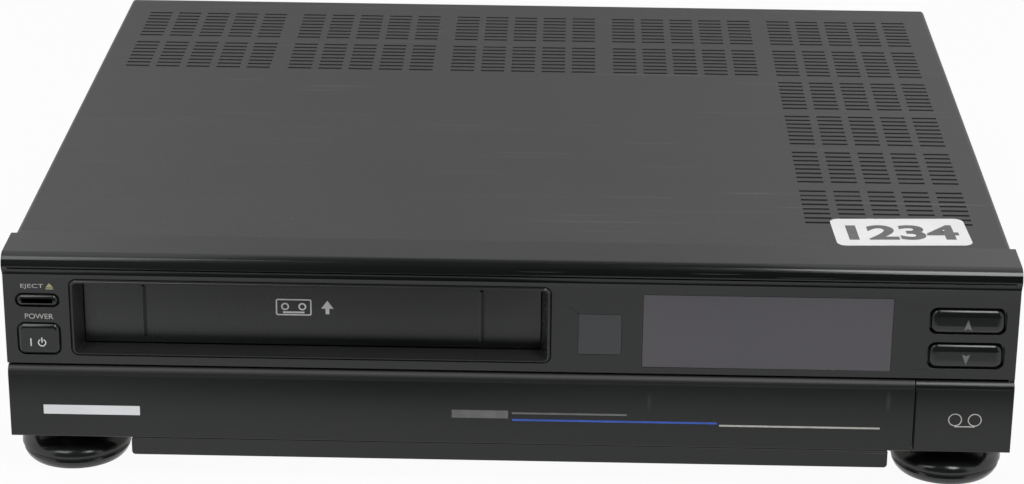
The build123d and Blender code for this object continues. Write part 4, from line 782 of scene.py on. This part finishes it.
# %% Pull the feet up from a disc
foot_low, foot_high = (1000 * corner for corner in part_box("front_feet"))
foot_radius = 23.5
foot_y = foot_low.y + foot_radius
base_ring = [(19.5, 0.3), (20.2, 0.0), (20.9, 0.05), (21.9, 1.2), (22.6, 2.6), (22.8, 3.4)]
waist = [(22.5, 3.9), (22.3, 4.3), (22.5, 4.8), (23.1, 5.2)]
dome = [(foot_radius, 5.7), (23.42, 6.5), (23.1, 7.4), (22.5, 8.3), (21.5, 9.2), (20.0, 10.1), (18.0, 10.9),
        (15.5, 11.6)]
neck = [(13.0, 12.2), (12.1, 12.8), (12.0, 14.0), (12.0, 17.3)]
turned_foot = lathe(foot_low.x + foot_radius, foot_y, base_ring + waist + dome + neck, 96)
left_foot = settle(turned_foot, "foot_left", "chassis", "feet", foot_plastic, 40)
right_foot = twin(left_foot, "foot_right", "chassis", (foot_high.x - foot_low.x - 2 * foot_radius, 0, 0))
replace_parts(left_foot, "front_feet")
print("feet:", len(left_foot.data.polygons), "faces each, centre at y", round(foot_y, 1))

# %% [markdown]
# ## The keys of the front
# The four face keys are pillows of satin plastic that sit in wells with a
# dark gap all round. Behind the front each one has a retaining flange and
# a stem that reaches to its switch. A box is rounded at its four long
# edges, its front rim gets a wide soft bevel, and the back face is pulled
# out into the flange and the stem, so the whole key is one skin.
#
# A bevel is as deep as it is wide. The pillow has to be wider than it is
# deep, so the box is made too deep, bevelled, and squeezed back again. A
# narrow ring inside the front face keeps the soft shading in the rim, and
# the channel keys lean back a little, as keys do that are pressed from
# above.


# %% Model a face key
key_rim, flange, stem_w, stem_h = 1.8, 1.2, 4.0, 3.0
cap_depth = 3.9


def flange_and_stem(width, height, middle, reach):
    """Pulls a cap's back face out into the flange and then the stem, which ends at a reach behind the cap."""
    wide, tall = width + 2 * flange, height + 2 * flange
    pull()
    grow(wide / width, 1, tall / height, middle)
    pull(y=flange)
    pull()
    grow(stem_w / wide, 1, stem_h / tall, middle)
    pull(y=reach - flange)


def face_key(node_name, corner, soft, deep, profile, lean_back):
    """A pillow-shaped key: corner radius, width and depth of its soft rim, the rim's profile, and its lean."""
    low, high = (1000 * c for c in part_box(node_name))
    left, right = low.x + key_rim, high.x - key_rim
    bottom, top = low.z + key_rim, high.z - key_rim
    width, height, stretch = right - left, top - bottom, soft / deep
    middle = Vector(((left + right) / 2, low.y + cap_depth * stretch / 2, (bottom + top) / 2))
    key = box_of((width, cap_depth * stretch, height), middle)
    choose(key, "EDGE", lambda a, b: abs(a.y - b.y) > 1)
    bpy.ops.mesh.bevel(offset=corner / 1000, segments=6)
    choose(key, "EDGE", lambda a, b: max(a.y, b.y) < low.y + 0.01)
    bpy.ops.mesh.bevel(offset=soft / 1000, segments=8, profile=profile)
    bpy.ops.mesh.select_all(action="SELECT")
    grow(1, 1 / stretch, 1, low)
    choose(key, "FACE", lambda c, n: n.y < -0.999)
    bpy.ops.mesh.inset(thickness=min(0.25, 0.6 * (corner - soft)) / 1000)
    if lean_back:
        choose(key, "VERT", lambda v: v.y < low.y + deep - 0.01)
        bpy.ops.transform.rotate(value=math.radians(lean_back), orient_axis="X",
                                 center_override=(0, low.y / 1000, bottom / 1000))
    choose(key, "FACE", lambda c, n: n.y > 0.9)
    flange_and_stem(width, height, middle, high.y - low.y - cap_depth)
    return key


channel_lean = 5.0
for node_name, *shape in (
        ("eject_button", 2.4, 2.3, 2.0, 0.5, 0.0), ("power_button", 2.6, 1.5, 1.3, 0.35, 0.0),
        ("channel_up_button", 3.6, 3.5, 2.5, 0.5, channel_lean),
        ("channel_down_button", 3.6, 3.5, 2.5, 0.5, channel_lean)):
    cap_name = node_name.replace("button", "cap")
    key = settle(face_key(node_name, *shape), cap_name, node_name, "keys", key_plastic, 40)
    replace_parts(key, node_name)
    print(node_name, "faces:", len(key.data.polygons))

# %% [markdown]
# ## The deck keys and the tracking knob
# Behind the drop-down door lie six plain keys with a shallow finger dish
# and one knob. The keys are alike, so one is modelled and copied to the
# places of the others, each copy with its own mesh. The dish comes from
# extruding the front face a little way back and drawing it in, four times.
# An inset would do the same on a face with sharp corners, but it throws
# spikes where a corner is only a hair long.

# %% Model one deck key and copy it
deck_names = ["rewind_key", "play_key", "forward_key", "record_key", "pause_key", "stop_key"]
low, high = (1000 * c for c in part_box(deck_names[0]))
cap_w, cap_h, deck_cap_depth = high.x - low.x - 2 * key_rim, high.z - low.z - 2 * key_rim, 6.3
middle = Vector(((low.x + high.x) / 2, low.y + deck_cap_depth / 2, (low.z + high.z) / 2))
deck_key = box_of((cap_w, deck_cap_depth, cap_h), middle)
choose(deck_key, "EDGE", lambda a, b: abs(a.y - b.y) > 1)
corner, rim = 0.9, 0.5
bpy.ops.mesh.bevel(offset=corner / 1000, segments=3)
choose(deck_key, "EDGE", lambda a, b: max(a.y, b.y) < low.y + 0.01)
bpy.ops.mesh.bevel(offset=rim / 1000, segments=3)
choose(deck_key, "FACE", lambda c, n: n.y < -0.99)
dish_w, dish_h = cap_w - 2 * rim, cap_h - 2 * rim
for inward, back in ((0.5, 0.0), (0.6, 0.22), (0.7, 0.16), (0.8, 0.08)):
    pull()
    grow(1 - 2 * inward / dish_w, 1, 1 - 2 * inward / dish_h, middle)
    bpy.ops.transform.translate(value=(0, back / 1000, 0))
    dish_w, dish_h = dish_w - 2 * inward, dish_h - 2 * inward
choose(deck_key, "FACE", lambda c, n: n.y > 0.9)
flange_and_stem(cap_w, cap_h, middle, high.y - low.y - deck_cap_depth)
deck_cap = settle(deck_key, "rewind_cap", deck_names[0], "deck_keys", deck_plastic, 28)
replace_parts(deck_cap, deck_names[0])
for other_name in deck_names[1:]:
    step = 1000 * (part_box(other_name)[0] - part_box(deck_names[0])[0])
    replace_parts(twin(deck_cap, other_name.replace("key", "cap"), other_name, step), other_name)
print("deck keys:", len(deck_names), "of", len(deck_cap.data.polygons), "faces")

# %% [markdown]
# The knob is turned like the feet, lying on its side. Its grip is fluted:
# every second face of its rim is sunk a little, which is quicker than
# cutting grooves and gives the same look.

# %% Turn the tracking knob
low, high = (1000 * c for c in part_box("tracking_knob"))
axis = (low + high) / 2
knob_steps = [(3.0, 12.8), (3.0, 5.0), (8.6, 5.0), (9.0, 4.6), (9.0, 1.5), (8.9, 1.1), (8.4, 0.5), (7.8, 0.0),
              (6.6, 0.0), (6.2, 0.35), (0.6, 0.4)]
flutes = 24
knob = lathe(0, 0, [(radius, -depth) for radius, depth in knob_steps], 2 * flutes)
knob.rotation_euler = (math.radians(90), 0, 0)
knob.location = (axis.x / 1000, low.y / 1000, axis.z / 1000)
only(knob)
bpy.ops.object.transform_apply(location=True, rotation=True)


def every_second(c, n):
    """Picks alternate faces round the rim of the knob."""
    turn = math.degrees(math.atan2(c.z - axis.z, c.x - axis.x)) % 360
    on_rim = abs(n.y) < 0.1 and math.hypot(c.x - axis.x, c.z - axis.z) > 8.8
    return on_rim and int(turn // (180 / flutes)) % 2 == 0


choose(knob, "FACE", every_second)
bpy.ops.mesh.inset(thickness=0.0001, use_individual=True)
bpy.ops.transform.resize(value=(0.965, 1, 0.965), center_override=axis / 1000)
knob = settle(knob, "tracking_grip", "tracking_knob", "deck_keys", deck_plastic, 30)
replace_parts(knob, "tracking_knob")
print("knob faces:", len(knob.data.polygons))

# %% [markdown]
# ## Screws
# Seven pan-head screws hold the cover. Their heads are turned, and a cross
# is cut in with a Boolean, because a recess with a sharp cross outline is
# hard to extrude from a round face.

# %% Model one screw and copy it
head_radius, head_height = 4.0, 1.4
head = lathe(0, 0, [(1.4, -4.9), (1.4, 0.0), (head_radius, 0.0), (head_radius, 0.5), (3.7, 0.95), (3.0, 1.25),
                    (1.6, head_height)], 32)
for turn in (0, 90):
    bpy.ops.object.select_all(action="DESELECT")
    bpy.ops.mesh.primitive_cube_add(size=0.001, scale=(3.4, 0.7, 1.6), location=(0, 0, 0.0013),
                                    rotation=(0, 0, math.radians(turn)))
    bar = bpy.context.object
    only(head)
    cut = head.modifiers.new("cross", "BOOLEAN")
    cut.operation, cut.object = "DIFFERENCE", bar
    bpy.ops.object.modifier_apply(modifier="cross")
    bpy.data.objects.remove(bar)

low, high = (1000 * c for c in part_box("cover_screws"))
side_x, side_z, side_ys = 208.5, low.z + head_radius, (low.y + head_radius, low.y + 234)
rear_y, rear_z = high.y - head_height, high.z - head_radius
places = [((side * side_x, y, side_z), (0, math.radians(90 * side), 0)) for side in (-1, 1) for y in side_ys]
places += [((x, rear_y, rear_z), (math.radians(-90), 0, 0)) for x in (-198, 0, 198)]
for index, (place, turned) in enumerate(places):
    screw = bpy.data.objects.new("screw", head.data.copy())
    bpy.context.scene.collection.objects.link(screw)
    screw.location = [c / 1000 for c in place]
    screw.rotation_euler = turned
    screw = settle(screw, f"cover_screw_{index + 1}", "chassis", "screws", screw_steel, 30)
    if index == 0:
        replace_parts(screw, "cover_screws")
bpy.data.objects.remove(head)
print("screws:", len(places))

# %% [markdown]
# ## Printed marks
# The front carries small printed words and symbols, pale grey and a little
# worn. Words are text objects made into meshes, so that they export like
# any other piece. Symbols are cut from flat shapes. Each lies a few
# hundredths of a millimetre in front of the surface that carries it, and
# rides on that surface's body.

# %% Inks
pale_ink = base_finish("pale_ink", (0.50, 0.50, 0.48), (0.64, 0.64, 0.61), (0.42, 0.55), 2400, 0.002, patch=220)
yellow_ink = base_finish("warm_ink", (0.42, 0.41, 0.22), (0.54, 0.52, 0.30), (0.42, 0.55), 2400, 0.002,
                         patch=220)
dim_ink = base_finish("dim_ink", grey(0.14), grey(0.19), (0.40, 0.55), 2400, 0.002, patch=200)
white_ink = base_finish("white_ink", grey(0.80), grey(0.90), (0.40, 0.52), 2400, 0.002, patch=240)
blue_ink = base_finish("blue_ink", (0.035, 0.10, 0.48), (0.050, 0.13, 0.60), (0.40, 0.52), 2400, 0.002,
                       patch=200)
badge_silver = base_finish("badge_silver", (0.66, 0.67, 0.69), (0.76, 0.77, 0.79), (0.26, 0.34), 1800, 0.002,
                           patch=30, metal=1.0)
print("inks are mixed")


# %% Helpers for flat marks on an upright face
def word(text, name, body, slot_name, ink, left, bottom, y, width, height, weight=0.0, up=(90, 0, 0)):
    """A word as a mesh, stretched to a width and a height in millimetres."""
    bpy.ops.object.select_all(action="DESELECT")
    bpy.ops.object.text_add()
    lettering = bpy.context.object
    lettering.data.body = text
    lettering.data.offset = weight
    bpy.ops.object.convert(target="MESH")
    lettering = bpy.context.object
    across = [v.co.x for v in lettering.data.vertices]
    tall = [v.co.y for v in lettering.data.vertices]
    stretch_x = width / 1000 / (max(across) - min(across))
    stretch_y = height / 1000 / (max(tall) - min(tall))
    to_corner = Matrix.Translation((-min(across), -min(tall), 0))
    lettering.data.transform(Matrix.Diagonal((stretch_x, stretch_y, 1, 1)) @ to_corner)
    lettering.rotation_euler = [math.radians(angle) for angle in up]
    lettering.location = (left / 1000, y / 1000, bottom / 1000)
    return settle(lettering, name, body, slot_name, ink)


def strip(name, body, slot_name, ink, x, z, y, width, height, thick=0.03, radius=0.0):
    """A thin bar with soft corners, centred on a place of an upright face."""
    piece = box_of((width, thick, height), (x, y - thick / 2, z))
    if radius:
        choose(piece, "EDGE", lambda a, b: abs(a.x - b.x) < 1e-4 and abs(a.z - b.z) < 1e-4)
        bpy.ops.mesh.bevel(offset=radius / 1000, segments=4)
    return settle(piece, name, body, slot_name, ink)


def outline(name, body, slot_name, ink, x, z, y, width, height, line, radius, sides=0):
    """A rounded frame, or a ring if it is given a number of sides."""
    bpy.ops.object.select_all(action="DESELECT")
    upright = (math.radians(90), 0, 0)
    if sides:
        bpy.ops.mesh.primitive_circle_add(vertices=sides, radius=0.0005, fill_type="NGON", rotation=upright)
    else:
        bpy.ops.mesh.primitive_plane_add(size=0.001, rotation=upright)
    piece = bpy.context.object
    piece.location = (x / 1000, y / 1000, z / 1000)
    bpy.ops.object.transform_apply(location=True, rotation=True)
    bpy.ops.object.mode_set(mode="EDIT")
    bpy.ops.mesh.select_all(action="SELECT")
    grow(width, 1, height, (x, y, z))
    if radius:
        bpy.ops.mesh.bevel(offset=radius / 1000, segments=5, affect="VERTICES")
    bpy.ops.mesh.select_all(action="SELECT")
    bpy.ops.mesh.inset(thickness=line / 1000)
    bpy.ops.mesh.delete(type="FACE")
    bpy.ops.object.mode_set(mode="OBJECT")
    return settle(piece, name, body, slot_name, ink)


def arrowhead(name, body, slot_name, ink, x, z, y, width, height, notch=0.0, down=False):
    """A triangle that points up or down, with a notch in its base."""
    bpy.ops.object.select_all(action="DESELECT")
    bpy.ops.mesh.primitive_circle_add(vertices=3, radius=0.001, fill_type="NGON",
                                      rotation=(math.radians(90), 0, 0))
    piece = bpy.context.object
    bpy.ops.object.transform_apply(rotation=True)
    choose(piece, "VERT", lambda v: True)
    side_length, full_height = 1.732, 1.5
    bpy.ops.transform.resize(value=(width / side_length, 1, height / full_height), center_override=(0, 0, 0))
    choose(piece, "EDGE", lambda a, b: abs(a.z - b.z) < 1e-3)
    bpy.ops.mesh.subdivide(number_cuts=1)
    choose(piece, "VERT", lambda v: abs(v.x) < 1e-3 and v.z < 0)
    bpy.ops.transform.translate(value=(0, 0, notch * height / 1000))
    only(piece)
    piece.rotation_euler = (0, math.radians(180) if down else 0, 0)
    piece.location = (x / 1000, y / 1000, (z + (0.17 if down else -0.17) * height) / 1000)
    return settle(piece, name, body, slot_name, ink)


face_y = 1000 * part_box("display_window")[0].y - 0.04
print("face plane at y", round(face_y, 2))

# %% [markdown]
# The two keys on the left have their words on the fascia above them, and
# the lower one carries a stroke and a broken ring. The ring is a whole one
# with the faces at its top deleted. The arrows of the channel keys turn
# about the foot of the cap, by the same lean as the caps.

# %% Words and symbols of the left-hand keys
on_fascia, on_key = ("chassis", "fascia"), ("power_button", "keys")
eject_low, eject_high = (1000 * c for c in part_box("eject_button"))
power_low, power_high = (1000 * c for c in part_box("power_button"))
eject_z, power_top = (eject_low.z + eject_high.z) / 2, power_high.z - 1.2
word("EJECT", "word_eject", *on_fascia, pale_ink, -202.7, eject_z + 4.9, face_y, 9.5, 2.3)
arrowhead("eject_sign", *on_fascia, yellow_ink, -190.7, eject_z + 6.7, face_y, 3.2, 2.0)
strip("eject_sign_bar", *on_fascia, yellow_ink, -190.7, eject_z + 5.1, face_y + 0.03, 3.2, 0.5)
word("POWER", "word_power", *on_fascia, pale_ink, -201.5, power_top + 1.6, face_y, 11.8, 2.3)
key_y = power_low.y - 0.03
power_x, power_z = (power_low.x + power_high.x) / 2, (power_low.z + power_high.z) / 2
ring_x, ring_z = power_x + 1.3, power_z - 1.4
strip("power_stroke", *on_key, white_ink, power_x - 3.3, power_z - 1.2, key_y + 0.02, 0.55, 3.5)
ring = outline("power_ring", *on_key, white_ink, ring_x, ring_z, key_y, 3.5, 3.5, 0.5, 0, 40)
choose(ring, "FACE", lambda c, n: abs(c.x - ring_x) < 0.75 and c.z > ring_z)
bpy.ops.mesh.delete(type="FACE")
only(ring)
strip("power_tick", *on_key, white_ink, ring_x, power_z - 0.2, key_y + 0.02, 0.5, 2.3)
print("left-hand marks at z", round(eject_z + 5, 1), "and", round(power_top + 1.7, 1))

# %% Arrows on the channel keys
for name, down in (("channel_up_button", False), ("channel_down_button", True)):
    low, high = (1000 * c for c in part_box(name))
    x, z = (low.x + high.x) / 2, (low.z + high.z) / 2 - 1.4
    arrow = arrowhead(name.replace("button", "arrow"), name, "keys", dim_ink, x, z, low.y - 0.03, 3.4, 4.6,
                      0.16, down)
    hinge = Matrix.Translation((0, low.y / 1000, (low.z + key_rim) / 1000))
    arrow.data.transform(hinge @ Matrix.Rotation(math.radians(-channel_lean), 4, "X") @ hinge.inverted())
print("arrows are on the channel keys")

# %% [markdown]
# The flap carries a small picture of a cassette and an arrow: a plain sign
# for "put the tape in here". It is made of frames, rings and bars.

# %% The cassette sign on the flap
flap_low, flap_high = (1000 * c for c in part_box("cassette_flap"))
on_flap, both_sides = ("flap", "fascia"), (("left", -1), ("right", 1))
sign_x, arrow_x, hub_offset = -90.6, -76.5, 3.6
sign_y, sign_z = flap_low.y - 0.03, (flap_low.z + flap_high.z) / 2 + 2.0
outline("sign_case", *on_flap, white_ink, sign_x, sign_z, sign_y, 15.0, 7.4, 0.6, 0.9)
for hand, side in both_sides:
    outline(f"sign_hub_{hand}", *on_flap, white_ink, sign_x + side * hub_offset, sign_z + 0.3, sign_y,
            3.4, 3.4, 0.7, 0, 24)
strip("sign_label", *on_flap, white_ink, sign_x, sign_z - 2.3, sign_y + 0.02, 9.0, 0.8)
arrowhead("sign_arrow", *on_flap, white_ink, arrow_x, sign_z + 1.4, sign_y, 5.2, 3.6)
strip("sign_arrow_tail", *on_flap, white_ink, arrow_x, sign_z - 1.6, sign_y + 0.02, 1.6, 2.6)
print("cassette sign at z", round(sign_z, 1))

# %% [markdown]
# The flap has two upright grooves that stiffen it. The solid already has
# them; a strip of painted shade and a strip of painted highlight along each
# one stand in for the light on their two walls.

# %% Painted shade and highlight along the grooves of the flap
# Painted shade: a dark strip in each groove, for the shade on its wall.
groove_shade = base_finish("groove_shade", (0.005, 0.006, 0.006), (0.008, 0.009, 0.009), (0.30, 0.40),
                           1800, 0.002, specular=0.34)
# Painted highlight: a pale strip beside each groove, for the light caught by its other wall; the same highlight
# lies along the skirt below.
groove_highlight = base_finish("groove_highlight", (0.035, 0.036, 0.035), (0.050, 0.051, 0.050), (0.28, 0.36),
                          1800, 0.002)
flap_x, groove_offset = (flap_low.x + flap_high.x) / 2, 70.7
groove_z, groove_length = flap_low.z + 14.0, 22.5
for hand, side in both_sides:
    groove_x = flap_x + side * groove_offset
    strip(f"groove_shade_{hand}", *on_flap, groove_shade, groove_x + 0.35, groove_z, flap_low.y,
          1.5, groove_length, 0.02, 0.5)
    strip(f"groove_highlight_{hand}", *on_flap, groove_highlight, groove_x - 0.55, groove_z, flap_low.y,
          0.5, groove_length, 0.035, 0.2)
print("grooves at x", round(flap_x - groove_offset, 1), "and", round(flap_x + groove_offset, 1))

# %% [markdown]
# Along the door run a few hair-thin stripes in grey and blue, and a plain
# silver bar sits at its left end. The panel beside the door carries a sign
# of two reels joined by a tape. A painted highlight, a fine pale strip,
# follows the foot of the skirt, and a strip of painted shade, dead black,
# deepens the joint between door and panel.

# %% Stripes, bar and reel sign, and painted highlight and shade of the lower front
door_low, door_high = (1000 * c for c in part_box("front_door"))
door_y, door_top = door_low.y, door_high.z
on_door = ("door", "door")
strip("badge_bar", *on_door, badge_silver, -175.2, door_top - 19.3, door_y, 40.5, 4.2, 0.25, 0.1)
stripes = (("stripe_grey_wide", dim_ink, -24.0, -0.4, 18.2, 3.6), ("stripe_grey", dim_ink, 1.2, 49.3, 17.5, 0.8),
           ("stripe_blue", blue_ink, 1.3, 87.0, 20.6, 0.9), ("stripe_pale", pale_ink, 88.0, 155.0, 21.6, 0.8))
for name, ink, start, end, drop, height in stripes:
    strip(name, *on_door, ink, (start + end) / 2, door_top - drop, door_y, end - start, height, 0.03)
panel_y, reel_z, tape_x, reel_offset = door_y - 0.03, door_top - 17.2, 190.3, 4.1
for hand, side in both_sides:
    outline(f"reel_{hand}", *on_fascia, pale_ink, tape_x + side * reel_offset, reel_z + 0.2, panel_y,
            5.8, 5.8, 0.45, 0, 36)
strip("reel_tape", *on_fascia, pale_ink, tape_x, reel_z - 2.9, panel_y + 0.02, 8.4, 0.5)
# Painted highlight: a fine pale strip along the foot of the skirt, for the lamp glinting on its edge.
strip("skirt_highlight", *on_fascia, groove_highlight, 0, 17.2, door_y + 0.2, 316, 0.25, 0.15)
# Painted shade: a dead black strip in the joint between door and panel, for the shade in the gap.
painted_joint_shade = base_finish("painted_joint_shade", grey(0.002), grey(0.004), (0.45, 0.55), 1800, 0.002, specular=0.08)
strip("joint_shadow_line", *on_fascia, painted_joint_shade, 169.5, 31.9, door_y, 0.5, 27.0, 0.02)
print("stripes:", len(stripes), "door front at y", round(door_y, 2))

# %% [markdown]
# ## The number sticker
# A white paper sticker with bold grey figures lies on the cover, a little
# askew, at the front right-hand corner of the vents. Paper is matt, and it
# is thin enough to need no more than rounded corners.

# %% Sticker and its figures
paper_white = base_finish("sticker_paper", grey(0.88), grey(0.93), (0.50, 0.62), 1500, 0.01, patch=60)
figure_grey = base_finish("sticker_figures", (0.13, 0.125, 0.13), (0.17, 0.165, 0.17), (0.50, 0.62),
                          1500, 0.004, patch=120)
top_z = 1000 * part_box("top_cover")[1].z
centre = Vector((164.0, -138.8, top_z + 0.04))
sticker = box_of((57, 31, 0.08), (0, 0, 0))
choose(sticker, "EDGE", lambda a, b: abs(a.z - b.z) > 0.01)
bpy.ops.mesh.bevel(offset=0.004, segments=8)
only(sticker)
askew = math.radians(2.6)
sticker.rotation_euler = (0, 0, askew)
sticker.location = centre / 1000
settle(sticker, "number_sticker", "chassis", "cover_paint", paper_white)
figures_w, figures_h = 47.0, 17.0
figures = word("1234", "sticker_figures", "chassis", "cover_paint", figure_grey, 0, 0, 0, figures_w, figures_h,
               0.035, (0, 0, 0))
only(figures)
figures.data.transform(Matrix.Translation((-figures_w / 2000, -figures_h / 2000, 0)))
figures_place = Matrix.Translation((centre + Vector((0.8, -0.6, 0.06))) / 1000)
figures.data.transform(figures_place @ Matrix.Rotation(askew, 4, "Z"))
print("sticker at", [round(v, 1) for v in centre])
